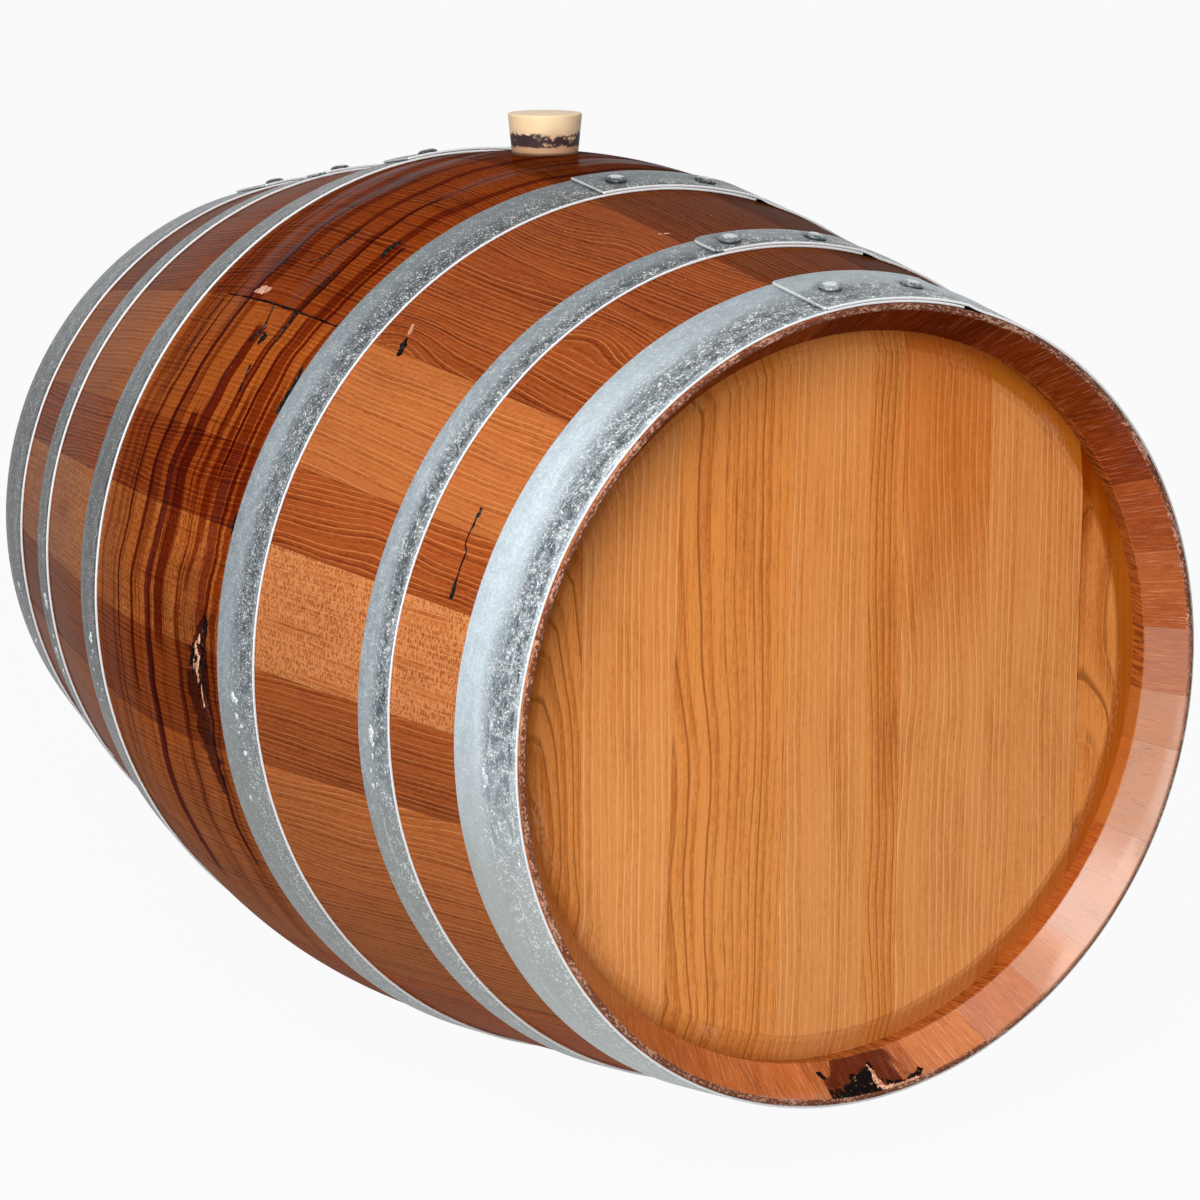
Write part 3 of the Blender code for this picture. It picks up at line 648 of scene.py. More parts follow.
def makeBung():
    bm = bmesh.new()
    top, low = bung["proud"], bung["proud"] - bung["height"]
    narrow = bung["topRadius"] - bung["taper"] * bung["height"]
    profile = [(0.0, low), (narrow, low), (bung["topRadius"], top), (0.0, top)]
    verts = [bm.verts.new((r, 0, z)) for r, z in profile]
    edges = [bm.edges.new(pair) for pair in zip(verts, verts[1:])]
    bmesh.ops.spin(bm, geom=verts + edges, cent=(0, 0, 0), axis=(0, 0, 1), angle=2 * math.pi, steps=96, use_merge=True)
    bmesh.ops.remove_doubles(bm, verts=bm.verts, dist=1e-5)
    bmesh.ops.recalc_face_normals(bm, faces=bm.faces)
    rims = [e for e in bm.edges if len(e.link_faces) == 2 and e.calc_face_angle(0) > 1.0]
    bmesh.ops.bevel(bm, geom=rims, offset=bung["rounding"], segments=4, profile=0.5, affect="EDGES", material=-1)
    for i in range(1, 12):
        cut(bm, (0, 0, low + bung["height"] * i / 12), (0, 0, 1))
    seat = barrel["axisHeight"] + barrel["bilgeRadius"]
    bmesh.ops.translate(bm, verts=bm.verts, vec=(0, 0, barrel["axisHeight"] + 0.363))
    finish = Finish("bung_silicone")
    place = finish.node("TexCoord", {}, out=3)
    x, y, z = finish.split(place)
    height = z - seat
    cloud = finish.noise(place, (60.0, 60.0, 60.0), 3.0)
    colour = finish.mix(cloud, bung["cream"], bung["pale"])
    ragged = finish.noise(place, (95.0, 95.0, 160.0), 4.0, 0.65)
    slow = finish.noise(place, (30.0, 30.0, 5.0), 1.0)
    above = finish.step(height + (ragged - 0.5) * 0.006, 0.0050, 0.0066)
    below = finish.step(height + (ragged - 0.5) * 0.016, 0.0120 + slow * 0.010, 0.0100 + slow * 0.010)
    patches = finish.step(ragged + (slow - 0.5) * 0.6, 0.34, 0.46)
    smear = finish.step(height + (slow - 0.5) * 0.030, 0.024, 0.004)
    colour = finish.mix(smear * 0.75, colour, bung["smear"])
    lees = above * below * patches
    colour = finish.mix(lees, colour, bung["lees"])
    crumbs = finish.step(finish.noise(place, (420.0, 420.0, 420.0), 1.0), 0.70, 0.76) * finish.step(height, 0.020, 0.012)
    colour = finish.mix(crumbs * 0.8, colour, bung["lees"])
    foot = finish.step(height, 0.0020, 0.0)
    colour = finish.mix(foot * 0.8, colour, bung["lees"])
    bump = finish.node("Bump", {}, {"Strength": 0.4, "Distance": 0.0005, "Height": lees * 1.0 + ragged * 0.3})
    finish.surface({"Base Color": colour, "Roughness": 0.42 + lees * 0.2, "Normal": bump,
                       "Subsurface Weight": 0.06, "Subsurface Radius": (0.006, 0.004, 0.002),
                       "Specular IOR Level": 0.4})
    addPiece("bung_plug", bm, finish, body="bung", nodes=["bung"])


heads = {
    "face": 0.433,
    "thickness": 0.024,
    "bevel": 0.020,
    "bevelDepth": 0.005,
    "edge": 0.006,
    "steps": 240,
    "arris": 0.0003,
    # from -Y to +Y: width, lean of the next joint in degrees, timber, sawing, how deep it sits
    "front": (
        (0.057, -0.6, "gold", "flat", 0.0003), (0.076, -1.8, "straw", "rift", 0.0001),
        (0.095, -1.2, "gold", "veined", 0.0002), (0.0725, 0.0, "straw", "quarter", 0.0),
        (0.030, 0.0, "gold", "rift", 0.0002), (0.079, 0.4, "straw", "rift", 0.0001),
        (0.0875, 0.0, "straw", "quarter", 0.0), (0.062, 0.0, "gold", "flat", 0.0006),
    ),
    # boards whose upper end is darker, partly a stain and partly painted shade under the chime: from, to, tint
    "topStainsAndShade": {6: (-0.02, 0.26, tint(0.90, 0.72, 0.54)), 8: (0.03, 0.15, tint(0.58, 0.34, 0.12))},
    "oiled": (0.50, 0.38, 0.32, 0.30, 0.32, 0.55, 0.85, 0.95),  # how dark each board's bevel is
    "rear": (
        (0.066, 0.8, "copper", "rift", 0.0001), (0.088, 0.0, "straw", "quarter", 0.0),
        (0.074, -0.7, "gold", "wavy", 0.0002), (0.096, 0.0, "copper", "flat", 0.0001),
        (0.081, 0.5, "gold", "quarter", 0.0003), (0.092, -0.4, "straw", "rift", 0.0),
        (0.062, 0.0, "gold", "wavy", 0.0002),
    ),
}


def makeHead(prefix, side, boards):
    croze = outerRadius(staves["croze"][0]) - staves["thickness"] + staves["croze"][2]
    rim = croze * math.cos(math.radians(3)) - barrel["gap"]
    out = heads["face"] - heads["bevelDepth"]
    land = outerRadius(out) - staves["thickness"] - barrel["gap"]
    back = heads["face"] - heads["thickness"]
    flat = land - heads["bevel"]
    profile = [(heads["face"], 0.0), (heads["face"], flat * 0.5), (heads["face"], flat), (out, land), (out, rim),
               (out - heads["edge"], rim), (out - heads["edge"], land), (back, flat), (back, 0.0)]
    disc = bmesh.new()
    verts = [disc.verts.new(onBarrel(side * x, 0.0, r)) for x, r in profile]
    edges = [disc.edges.new(pair) for pair in zip(verts, verts[1:])]
    bmesh.ops.spin(disc, geom=verts + edges, cent=(0, 0, barrel["axisHeight"]), axis=(1, 0, 0), angle=2 * math.pi,
                   steps=heads["steps"], use_merge=True)
    bmesh.ops.remove_doubles(disc, verts=disc.verts, dist=1e-5)
    whole = bpy.data.meshes.new("whole_head")
    disc.to_mesh(whole)
    disc.free()
    scale = 2 * rim / sum(board[0] for board in boards)
    joints = [(-rim - 0.01, 0.0)]
    edge = -rim
    for width, lean, *rest in boards[:-1]:
        edge += scale * width
        joints.append((edge, math.tan(math.radians(lean))))
    joints.append((rim + 0.01, 0.0))
    for number, (width, lean, timber, sawn, sunk) in enumerate(boards, start=1):
        bm = bmesh.new()
        bm.from_mesh(whole)
        for which, (middle, slope) in enumerate(joints[number - 1:number + 1]):
            away = Vector((0, 1, slope)).normalized() * (1 if which else -1)
            inset = Vector((0, middle, barrel["axisHeight"])) - away * barrel["gap"] / 2
            cut(bm, inset, away, clear=True)
            closeAndTurnOut(bm)
        bmesh.ops.dissolve_limit(bm, angle_limit=0.0005, verts=bm.verts, edges=bm.edges)
        joint = [e for e in bm.edges if len(e.link_faces) == 2 and e.calc_face_angle(0) > 1.2
                 and abs(e.verts[0].co.y - e.verts[1].co.y) < 0.1 * abs(e.verts[0].co.z - e.verts[1].co.z)
                 and all(side * v.co.x > heads["face"] - 1e-4 for v in e.verts)]
        bmesh.ops.bevel(bm, geom=joint, offset=heads["arris"], segments=2, profile=0.5, affect="EDGES", material=-1)
        bmesh.ops.translate(bm, verts=bm.verts, vec=(-side * sunk, 0, 0))
        middle = (joints[number - 1][0] + joints[number][0]) / 2
        tilt = (joints[number - 1][1] + joints[number][1]) / 2
        layer = bm.verts.layers.float_vector.new("grain")
        for v in bm.verts:
            up = v.co.z - barrel["axisHeight"]
            v[layer] = (up, v.co.y - middle + up * tilt, side * v.co.x - heads["face"])
        finish = woodFinish(f"{prefix}_board_{number}", timber, sawn, seed=number * 2.11 + (0 if side > 0 else 40),
                            gloss=0.46, coat=0.04, ring=0.0056, lines=0.85,
                            topStainAndShade=heads["topStainsAndShade"].get(number) if side > 0 else None,
                            oiled=heads["oiled"][number - 1])
        node = f"{prefix}_head_board_{number}"
        addPiece(f"{node}_wood", bm, finish, nodes=[node], sharp=1)
    bpy.data.meshes.remove(whole)


hoops = {
    "thickness": 0.0020,
    "rounding": 0.0005,
    "gap": 0.0003,
    "lap": math.radians(23.3),
    "settle": 0.018,        # how far the outer layer takes to come down past the inner end
    "cutAlong": 0.008,
    "unevenness": 0.00018,
    "dish": 0.0008,
    "rivetPitch": math.radians(13.333),
    # side, inset, width, outer end and first rivet in degrees, corner size, groove inset, bloom, shade (the strap's
    # tone, with painted shade on the rear hoops)
    "straps": {
        "front_chime": (1, 0.0014, 0.0676, 9.5, 4.2, 0.004, 0.0, 1.0, 0.98),
        "front_quarter": (1, 0.142, 0.036, 8.6, 4.5, 0.009, 0.0048, 0.85, 0.70),
        "front_bilge": (1, 0.3075, 0.049, 7.4, 3.1, 0.0012, 0.0045, 0.85, 0.60),
        "rear_bilge": (-1, 0.3075, 0.049, 10.2, 5.2, 0.0012, 0.0045, 0.35, 0.38),
        "rear_quarter": (-1, 0.142, 0.036, 10.2, 5.2, 0.009, 0.0048, 0.35, 0.38),
        "rear_chime": (-1, 0.0014, 0.0676, 11.6, 6.6, 0.004, 0.0, 0.35, 0.42),
    },
}

rivets = {"radius": 0.0085, "height": 0.0034, "shank": 0.004, "steps": 40}

zinc = {
    "sky": tint(0.68, 0.77, 0.82),
    "haze": tint(0.47, 0.55, 0.61),
    "mid": tint(0.42, 0.47, 0.50),
    "dark": tint(0.075, 0.092, 0.105),
    "low": tint(0.44, 0.47, 0.46),
    "white": tint(0.95, 0.96, 0.96),
    # the cut edge is painted pale, a painted reflection of the sky; the zinc lumps use this tone too
    "cutEdge": tint(0.80, 0.81, 0.82),
    "shadedEdge": tint(0.56, 0.58, 0.59),
}


def zincFinish(name, seed, haze, width, shade=1.0, rivetPlaces=()):
    finish = Finish(name)
    strap = finish.node("Attribute", {"attribute_name": "strap"}, out=1)
    across, along, up = finish.split(strap)
    _, sideways, height = finish.split(finish.node("TexCoord", {}, out=3))
    place = finish.shifted(strap, (seed * 0.37, seed * 0.71, seed * 0.13))
    cloud = finish.noise(place, (40.0, 9.0, 10.0), 3.0, 0.6) - 0.5
    mottle = finish.noise(place, (150.0, 90.0, 90.0), 3.0, 0.65) - 0.5
    salt = finish.noise(place, (480.0, 420.0, 420.0), 4.0, 0.75) - 0.5
    # a pale bloom covers the half away from the front edge, the rest is mottled
    bloom = finish.step(across / width + cloud * 0.6 + mottle * 0.25, 0.20, -0.16) * haze
    low = finish.step(height + cloud * 0.1, 0.40, 0.26)
    rim = finish.step(across, width / 2 - 0.0052, width / 2 - 0.0040) * 0.45
    cover = finish.maths("MAXIMUM", finish.maths("MAXIMUM", bloom, rim), low * 0.9)
    bare = finish.mix(finish.step(mottle * 1.1 + salt * 1.5, -0.24, 0.26), zinc["dark"], zinc["mid"])
    smooth = finish.mix(finish.step(salt * 1.2 + mottle * 0.5, -0.30, 0.30), zinc["haze"], zinc["sky"])
    colour = finish.mix(cover + cloud * 0.5, bare, finish.mix(low, smooth, zinc["low"]))
    specks = finish.noise(place, (560.0, 560.0, 560.0), 2.0, 0.7)
    spark = finish.step(specks + mottle * 0.30, 0.590, 0.620) * (0.35 + 0.65 * haze)
    scrape = finish.step(finish.noise(place, (260.0, 14.0, 14.0), 2.0), 0.64, 0.70)
    colour = finish.mix(scrape * 0.30, colour, zinc["white"])
    # the strap's own tone, darkened further as painted shade on the rear hoops
    colour = finish.mix(1.0, colour, tint(shade, shade, shade), "MULTIPLY")
    topShadeAndDirt = finish.step(height + cloud * 0.08, 0.52, 0.70)  # the top is darker: painted shade, with some dirt
    colour = finish.mix(topShadeAndDirt * 0.95, colour, tint(0.48, 0.48, 0.47), "MULTIPLY")
    # the very top is painted darker still, painted shade
    paintedCrownShade = finish.step(height, 0.690, 0.714)
    colour = finish.mix(paintedCrownShade * 0.5, colour, tint(0.40, 0.42, 0.44), "MULTIPLY")
    # the rear hoops are painted darker half-way up, painted shade
    rearHoopPaintedShade = finish.step(height, 0.24, 0.34) * finish.step(height, 0.62, 0.46) * ((1 - min(haze, 1.0)) ** 1.5 * 1.65)
    colour = finish.mix(rearHoopPaintedShade, colour, tint(0.12, 0.125, 0.13), "MULTIPLY")
    colour = finish.mix(spark * (1 - bloom * 0.7) * 0.8, colour, zinc["white"])
    # painted shade round each rivet, where the strap is dished
    for where in rivetPlaces:
        far = finish.maths("SQRT", across * across + (along - where) ** 2.0) + mottle * 0.004
        colour = finish.mix(finish.step(far, 0.0150, 0.0090) * 0.85, colour, tint(0.36, 0.37, 0.38), "MULTIPLY")
    if width > 0.5:  # a rivet: darker at its foot, and its top painted bright, a painted highlight
        colour = finish.mix(finish.step(up, 0.0022, 0.0003) * 0.8, colour, tint(0.30, 0.31, 0.32), "MULTIPLY")
        colour = finish.mix(finish.step(up + salt * 0.003, 0.0022, 0.0032) * 0.6, colour, zinc["white"])
    # the front cut edge is painted pale, a painted reflection
    edge = finish.step(across, width / 2 - 0.0008, width / 2 - 0.0003)
    shadedEdgeSide = finish.step(sideways, 0.10, 0.26)  # on the +Y side the cut edge is painted greyer, painted shade
    colour = finish.mix(edge, colour, finish.mix(shadedEdgeSide, zinc["cutEdge"], zinc["shadedEdge"]))
    if rivetPlaces:  # bright lip where the strap's outer end stops, a painted highlight
        colour = finish.mix(finish.step(along + salt * 0.002, 0.0016, 0.0008) * 0.5, colour, zinc["white"])
    rough = 0.36 + salt * 0.35 + cover * 0.18 - edge * 0.10
    relief = salt * 0.5 * (1 - cover * 0.7) + mottle * 0.4 + spark * 0.5
    bump = finish.node("Bump", {}, {"Strength": 0.4, "Distance": 0.0003, "Height": relief})
    finish.surface({"Base Color": colour, "Roughness": rough, "Metallic": 0.60 - edge * 0.45, "Normal": bump})
    return finish


def strapLine(side, inset, width):
    ends = [side * (end - inset - width), side * (end - inset)]
    low, high = min(ends), max(ends)
    bulge = outerRadius((low + high) / 2) - (outerRadius(low) + outerRadius(high)) / 2
    lift = bulge + hoops["gap"]
    return (low + high) / 2, (outerRadius(low) + outerRadius(high)) / 2 + lift, (outerRadius(high) - outerRadius(low)) / width


def makeHoop(name, settings, number):
    side, inset, width, lapEnd, firstRivet, corner, groove, haze, shade = settings
    middle, radius, slope = strapLine(side, inset, width)
    turn = 2 * math.pi + hoops["lap"]
    length = turn * radius
    bm = bmesh.new()
    corners = [(-width / 2, 0), (width / 2, 0), (width / 2, length), (-width / 2, length)]
    sheet = bm.faces.new([bm.verts.new((x, y, 0)) for x, y in corners])
    bmesh.ops.bevel(bm, geom=[v for v in bm.verts if v.co.y < 0.001], offset=corner, segments=4, profile=0.5,
                    affect="VERTICES", material=-1)
    moved = bmesh.ops.extrude_face_region(bm, geom=bm.faces[:])["geom"]
    bmesh.ops.translate(bm, verts=[v for v in moved if isinstance(v, bmesh.types.BMVert)],
                        vec=(0, 0, hoops["thickness"]))
    closeAndTurnOut(bm)
    rim = [e for e in bm.edges if abs(e.verts[0].co.z - e.verts[1].co.z) < 1e-6]
    bmesh.ops.bevel(bm, geom=rim, offset=hoops["rounding"], segments=2, profile=0.5, affect="EDGES", material=-1)
    for y in (corner + 0.003, length - 0.01):
        cut(bm, (0, y, 0), (0, 1, 0))
    lengthways = [e for e in bm.edges if abs(e.verts[0].co.y - e.verts[1].co.y) > length / 2]
    bmesh.ops.subdivide_edges(bm, edges=lengthways, cuts=round(length / hoops["cutAlong"]), use_grid_fill=True)
    lines = [-width / 4, 0.0, width / 4]
    if groove:
        lines += [width / 2 - groove - d for d in (0.0016, 0.0008, 0.0, -0.0008)]
    for x in lines:
        cut(bm, (x, 0, 0), (1, 0, 0))
    layer = bm.verts.layers.float_vector.new("strap")
    start = math.radians(lapEnd)
    lapLength = hoops["lap"] * radius
    rise = hoops["thickness"] + hoops["gap"]
    rivetPlaces = [(start - math.radians(firstRivet)) * radius]
    rivetPlaces.append(rivetPlaces[0] + hoops["rivetPitch"] * radius)
    near = [f for f in bm.faces if f.normal.z > 0.5
            and min(math.hypot(f.calc_center_median().x, f.calc_center_median().y - y) for y in rivetPlaces) < 0.019]
    bmesh.ops.subdivide_edges(bm, edges=edgesOf(near), cuts=2, use_grid_fill=True)
    for v in bm.verts:
        flat = v.co.copy()
        v[layer] = flat
        past = (flat.y - lapLength) / hoops["settle"]
        share = 1.0 if past < 0 else 0.0 if past > 1 else 1 - past * past * (3 - 2 * past)
        level = flat.z + rise * share
        level += hoops["unevenness"] * noise.noise(Vector((flat.x * 30, flat.y * 22, number * 7.0)))
        if groove and flat.z > hoops["thickness"] * 0.6:
            level -= 0.00045 * math.exp(-((flat.x - width / 2 + groove) / 0.0007) ** 2)
        if flat.z > hoops["thickness"] * 0.6:
            for y in rivetPlaces:
                level -= hoops["dish"] * math.exp(-(flat.x ** 2 + (flat.y - y) ** 2) / 0.012 ** 2)
        angle = start - flat.y / radius
        lean = math.hypot(1.0, slope)
        v.co = onBarrel(middle + flat.x / lean - level * slope / lean, angle,
                        radius + flat.x * slope / lean + level / lean)
    bmesh.ops.recalc_face_normals(bm, faces=bm.faces)
    finish = zincFinish(f"zinc_{name}", number * 3.3, haze, width, shade, rivetPlaces)
    addPiece(f"{name}_strap", bm, finish, nodes=[f"{name}_hoop"], sharp=50)
    for index, y in enumerate(rivetPlaces, start=1):
        makeRivet(f"{name}_hoop_rivet_{index}", middle, radius + rise + hoops["thickness"], slope, start - y / radius,
                  number * 2 + index, shade)


def makeRivet(node, x, radius, slope, angle, seed, shade):
    bm = bmesh.new()
    wide, high, shank = rivets["radius"], rivets["height"], rivets["shank"]
    dome = [(wide * math.cos(a), high * math.sin(a) ** 0.9) for a in (math.radians(d) for d in range(0, 90, 9))]
    profile = [(0.0, -0.0035), (shank, -0.0035), (shank, -0.0005), (wide * 0.97, -0.0005)] + dome + [(0.0, high)]
    verts = [bm.verts.new((r, 0, z)) for r, z in profile]
    edges = [bm.edges.new(pair) for pair in zip(verts, verts[1:])]
    bmesh.ops.spin(bm, geom=verts + edges, cent=(0, 0, 0), axis=(0, 0, 1), angle=2 * math.pi, steps=rivets["steps"],
                   use_merge=True)
    bmesh.ops.remove_doubles(bm, verts=bm.verts, dist=1e-5)
    layer = bm.verts.layers.float_vector.new("strap")
    for v in bm.verts:
        v[layer] = v.co.copy()
        if v.co.z > 0.001:  # hammer flats
            v.co.z -= 0.0008 * max(0.0, noise.noise(v.co * 140 + Vector((seed, 0, 0))))
    lean = Matrix.Rotation(-math.atan(slope), 4, "Y")
    place = (Matrix.Translation((0, 0, barrel["axisHeight"])) @ Matrix.Rotation(angle, 4, "X")
             @ Matrix.Translation((x - 0.0022 * slope, 0, radius)) @ lean)
    bmesh.ops.transform(bm, matrix=place, verts=bm.verts)
    bmesh.ops.recalc_face_normals(bm, faces=bm.faces)
    finish = zincFinish(f"zinc_{node}", seed * 5.1, 0.6, 1.0, shade)
    addPiece(f"{node}_head", bm, finish, nodes=[node])


# tar that ran over the staves and set: points are (along, degrees from the top), then half width and height
tar = {
    "facets": 10,
    "black": tint(0.010, 0.009, 0.009),
    "drips": (
        (((0.3750, 59.2), (0.3757, 61.0), (0.3740, 63.8), (0.3790, 65.0), (0.3790, 67.9), (0.3793, 71.2)),
         (0.0017, 0.0010, 0.0006, 0.0008, 0.0007, 0.0020), 0.0012),
        (((0.1955, 42.6), (0.1975, 43.4), (0.1998, 44.5)), (0.0008, 0.0024, 0.0016), 0.0012),
        (((0.1132, 70.8), (0.1138, 71.7), (0.1142, 73.2)), (0.0008, 0.0016, 0.0008), 0.0009),
        (((0.0872, 30.1), (0.0863, 31.6), (0.0883, 33.1)), (0.0016, 0.0032, 0.0018), 0.0018),
        (((0.1115, 51.1), (0.1148, 53.1), (0.1144, 55.3), (0.1140, 57.3)), (0.0010, 0.0026, 0.0024, 0.0032), 0.0016),
        (((0.0558, 37.7), (0.0560, 39.2), (0.0558, 41.1)), (0.0008, 0.0014, 0.0010), 0.0008),
        (((0.0557, 44.1), (0.0579, 46.1), (0.0566, 50.2)), (0.0015, 0.0012, 0.0008), 0.0009),
        (((0.0211, 45.0), (0.0302, 47.6), (0.0246, 50.1)), (0.0016, 0.0013, 0.0014), 0.0010),
        (((0.0380, 48.4), (0.0389, 49.1), (0.0392, 50.0)), (0.0018, 0.0034, 0.0016), 0.0016),
        (((0.0467, 53.0), (0.0523, 56.5)), (0.0012, 0.0010), 0.0008),
        (((0.0277, 30.2), (0.0266, 35.5), (0.0129, 37.4)), (0.0009, 0.0010, 0.0007), 0.0006),
        (((-0.0735, 45.3), (-0.0755, 49.7), (-0.0720, 54.0)), (0.0007, 0.0008, 0.0006), 0.0005),
    ),
}


def tubeAlong(bm, points, halves, height, place):  # a flattened bead through the points
    before = len(bm.verts)
    rings = []
    for index, (point, half) in enumerate(zip(points, halves)):
        ahead = (points[min(index + 1, len(points) - 1)] - points[max(index - 1, 0)]).normalized()
        turned = Matrix((ahead.cross(Vector((0, 0, 1))), Vector((0, 0, 1)), ahead)).transposed().to_4x4()
        made = bmesh.ops.create_circle(bm, cap_ends=False, segments=tar["facets"], radius=1.0)["verts"]
        bmesh.ops.scale(bm, vec=(half, height * min(1.0, half / max(halves) + 0.25), 1.0), verts=made)
        bmesh.ops.transform(bm, matrix=Matrix.Translation(point) @ turned, verts=made)
        rings.append(made)
    loops = [edgesOf(ring) for ring in rings]
    for first, second in zip(loops, loops[1:]):
        bmesh.ops.bridge_loops(bm, edges=first + second)
    for loop, point, ahead in ((loops[0], points[0], points[0] - points[1]), (loops[-1], points[-1], points[-1] - points[-2])):
        tip = [v for v in bmesh.ops.extrude_edge_only(bm, edges=loop)["geom"] if isinstance(v, bmesh.types.BMVert)]
        middle = point + ahead.normalized() * height
        for v in tip:
            v.co = middle + (v.co - point) * 0.4
        bmesh.ops.contextual_create(bm, geom=tip)
    bm.verts.ensure_lookup_table()
    for v in bm.verts[before:]:
        v.co = place(v.co)


def smoothPath(points, halves, parts=4):
    path, widths = [], []
    for i in range(len(points) - 1):
        for k in range(parts):
            t = k / parts
            path.append(points[i].lerp(points[i + 1], t))
            widths.append(halves[i] + (halves[i + 1] - halves[i]) * t * t * (3 - 2 * t))
    return path + [points[-1]], widths + [halves[-1]]


def makeTar():
    bm = bmesh.new()
    radius = barrel["bilgeRadius"]
    for number, (places, halves, height) in enumerate(tar["drips"]):
        points = [Vector((x, math.radians(angle) * radius, 0)) for x, angle in places]
        points, halves = smoothPath(points, halves)
        for k, point in enumerate(points):  # beads run unevenly
            point.x += 0.0016 * noise.noise(Vector((k * 0.45, number * 3.7, 0)))
            halves[k] *= 1 + 0.9 * noise.noise(Vector((k * 0.7, number * 5.1, 9)))
        tubeAlong(bm, points, halves, height,
                  lambda flat: onBarrel(flat.x, flat.y / radius, outerRadius(flat.x) - 0.0001 + flat.z))
    bmesh.ops.recalc_face_normals(bm, faces=bm.faces)
    finish = Finish("set_tar")
    place = finish.node("TexCoord", {}, out=3)
    dust = finish.noise(place, (500.0, 500.0, 500.0), 2.0)
    colour = finish.mix(finish.step(dust, 0.60, 0.72) * 0.4, tar["black"], tint(0.10, 0.08, 0.075))
    glint = finish.step(finish.noise(place, (230.0, 230.0, 230.0), 1.0), 0.52, 0.64)
    bump = finish.node("Bump", {}, {"Strength": 0.3, "Distance": 0.0003, "Height": dust})
    finish.surface({"Base Color": colour, "Roughness": 0.5, "Normal": bump, "Coat Weight": glint * 0.5,
                       "Coat Roughness": 0.12, "Specular IOR Level": 0.0})
    addPiece("tar_drips", bm, finish, sharp=60)


# zinc that ran down and set in lumps: hoop, degrees from the top, size
burrs = {
    "lumps": (
        ("front_chime", 92.0, 0.0050), ("front_quarter", 91.3, 0.0050), ("front_bilge", 92.5, 0.0048),
        ("rear_bilge", 94.4, 0.0040), ("rear_quarter", 95.8, 0.0050), ("rear_chime", 98.7, 0.0040),
    ),
    "crumbs": 9,
}


def makeBurrs():
    bm = bmesh.new()
    for number, (name, angle, size) in enumerate(burrs["lumps"]):
        side, inset, width = hoops["straps"][name][:3]
        middle, radius, slope = strapLine(side, inset, width)
        for k in range(burrs["crumbs"]):
            wander = Vector([noise.noise(Vector((number * 4.3, k * 2.9, axis * 7.7))) for axis in range(3)])
            big = size * (0.95 if k == 0 else 0.25 + 0.5 * abs(wander.z) + 0.3 / k)
            made = bmesh.ops.create_icosphere(bm, subdivisions=3 if k < 4 else 2, radius=1.0)["verts"]
            for v in made:
                v.co *= 1 + 0.35 * noise.noise(v.co * 1.6 + Vector((number, k, 0))) + 0.22 * noise.noise(v.co * 4.5)
                v.co = Vector((v.co.x * big * (0.5 + 0.3 * (k % 2)), v.co.y * big, v.co.z * min(big * 0.4, 0.0012)))
            turn = math.radians(angle + (0.5 * k if k < 4 else 1.3 * k) * (1 + wander.x) + wander.x)
            shift = wander.y * (0.006 if k < 4 else width * 0.5)
            place = (Matrix.Translation((0, 0, barrel["axisHeight"])) @ Matrix.Rotation(turn, 4, "X")
                     @ Matrix.Translation((middle + shift, 0, radius + slope * shift + hoops["thickness"])))
            bmesh.ops.transform(bm, matrix=place, verts=made)
    finish = Finish("zinc_burrs")
    place = finish.node("TexCoord", {}, out=3)
    grit = finish.noise(place, (700.0, 700.0, 700.0), 3.0, 0.6)
    colour = finish.mix(finish.step(grit, 0.40, 0.62), zinc["mid"], zinc["cutEdge"])
    bump = finish.node("Bump", {}, {"Strength": 0.5, "Distance": 0.0004, "Height": grit})
    finish.surface({"Base Color": colour, "Roughness": 0.45 + (grit - 0.5) * 0.3, "Metallic": 0.45, "Normal": bump})
    addPiece("zinc_burrs", bm, finish, sharp=60)


studio = {
    "floorTone": tint(0.40, 0.40, 0.395),
    "floorGlow": 0.95,
    "skyTone": tint(0.155, 0.165, 0.175),
    "key": {"place": (1.45, -1.20, 1.95), "aim": (0.1, 0, 0.38), "size": 1.3, "power": 45.0, "tone": (1.0, 0.985, 0.96)},
    "side": {"place": (2.5, -2.3, 0.85), "aim": (0.0, 0, 0.40), "size": 1.8, "power": 52.0, "tone": (0.95, 0.98, 1.0)},
}

# where the photographer stood, in the barrel's frame
camera = {
    "place": (2.34726, -1.34774, 0.97225),
    "forward": (-0.83722, 0.49920, -0.22329),
    "right": (0.51218, 0.85888, -0.00029),
    "lens": 99.43,
    "sensor": 36.0,
}


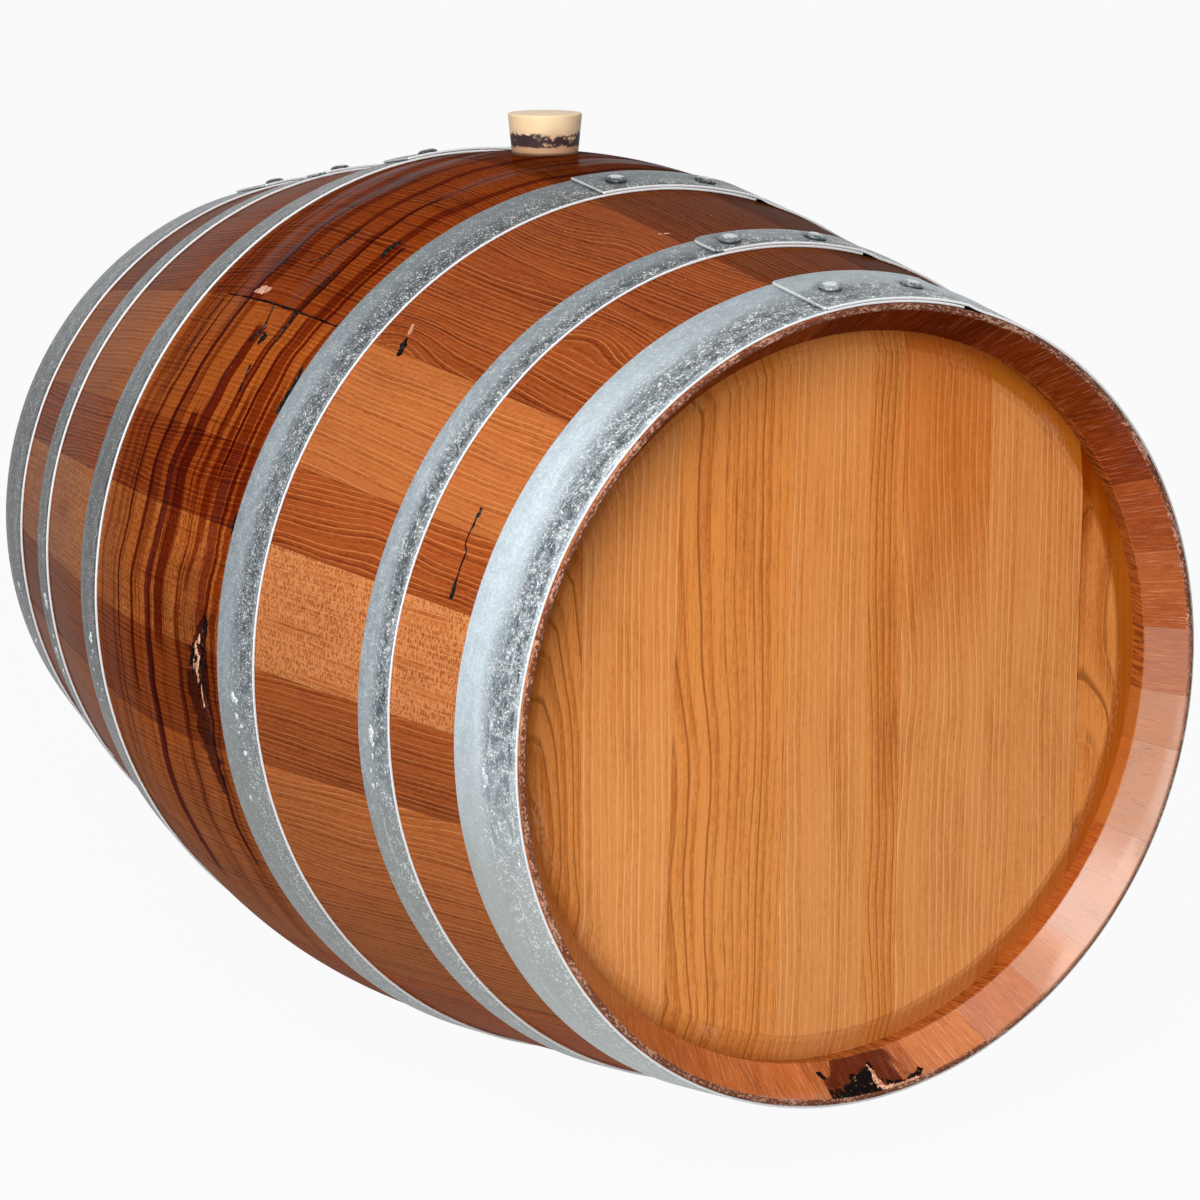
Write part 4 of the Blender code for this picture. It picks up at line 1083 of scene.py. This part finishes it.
def makeStudio():
    bm = bmesh.new()
    bmesh.ops.create_grid(bm, x_segments=2, y_segments=2, size=60.0)
    mesh = bpy.data.meshes.new("studio_floor")
    bm.to_mesh(mesh)
    bm.free()
    floor = bpy.data.objects.new("studio_floor", mesh)
    bpy.context.scene.collection.objects.link(floor)
    finish = Finish("floor_paint")
    finish.surface({"Base Color": studio["floorTone"], "Roughness": 0.9, "Specular IOR Level": 0.1})
    seen = finish.rays("Is Camera Ray", "Is Glossy Ray", "Is Transmission Ray")
    glow = finish.node("Emission", {}, {"Color": tint(1, 1, 1), "Strength": 1.0})
    finish.show(finish.node("MixShader", {}, {0: seen * studio["floorGlow"], 1: finish.shader, 2: glow}))
    mesh.materials.append(finish.owner)

    sky = Finish("studio_sky", "World")
    sky.surface({"Color": studio["skyTone"]})
    seen = sky.rays("Is Camera Ray", "Is Glossy Ray", "Is Transmission Ray")
    white = sky.node("Background", {}, {"Color": tint(1, 1, 1), "Strength": 1.0})
    sky.show(sky.node("MixShader", {}, {0: seen, 1: sky.shader, 2: white}))
    bpy.context.scene.world = sky.owner

    for name in ("key", "side"):
        settings = studio[name]
        light = bpy.data.lights.new(f"{name}_softbox", "AREA")
        light.shape = "SQUARE"
        light.size = settings["size"]
        light.energy = settings["power"]
        light.color = settings["tone"]
        lamp = bpy.data.objects.new(f"{name}_softbox", light)
        bpy.context.scene.collection.objects.link(lamp)
        lamp.location = settings["place"]
        lamp.rotation_euler = (Vector(settings["aim"]) - lamp.location).to_track_quat("-Z", "Y").to_euler()

    lens = bpy.data.cameras.new("photo_camera")
    lens.lens = camera["lens"]
    lens.sensor_width = camera["sensor"]
    lens.clip_end = 50
    eye = bpy.data.objects.new("photo_camera", lens)
    bpy.context.scene.collection.objects.link(eye)
    forward = Vector(camera["forward"]).normalized()
    right = Vector(camera["right"]).normalized()
    turn = Matrix((right, right.cross(forward), -forward)).transposed()
    eye.matrix_world = Matrix.Translation(camera["place"]) @ turn.to_4x4()
    bpy.context.scene.camera = eye
    bpy.context.scene.view_settings.view_transform = "Standard"


makeStaves()
print("staves done")
makeBung()
print("bung done")
makeHead("front", 1, heads["front"])
makeHead("rear", -1, heads["rear"])
print("heads done")
for count, (strapName, strapSettings) in enumerate(hoops["straps"].items(), start=1):
    makeHoop(strapName, strapSettings, count)
makeBurrs()
print("hoops, rivets and burrs done")
makeTar()
print("tar done")
makeStudio()
print("studio done")
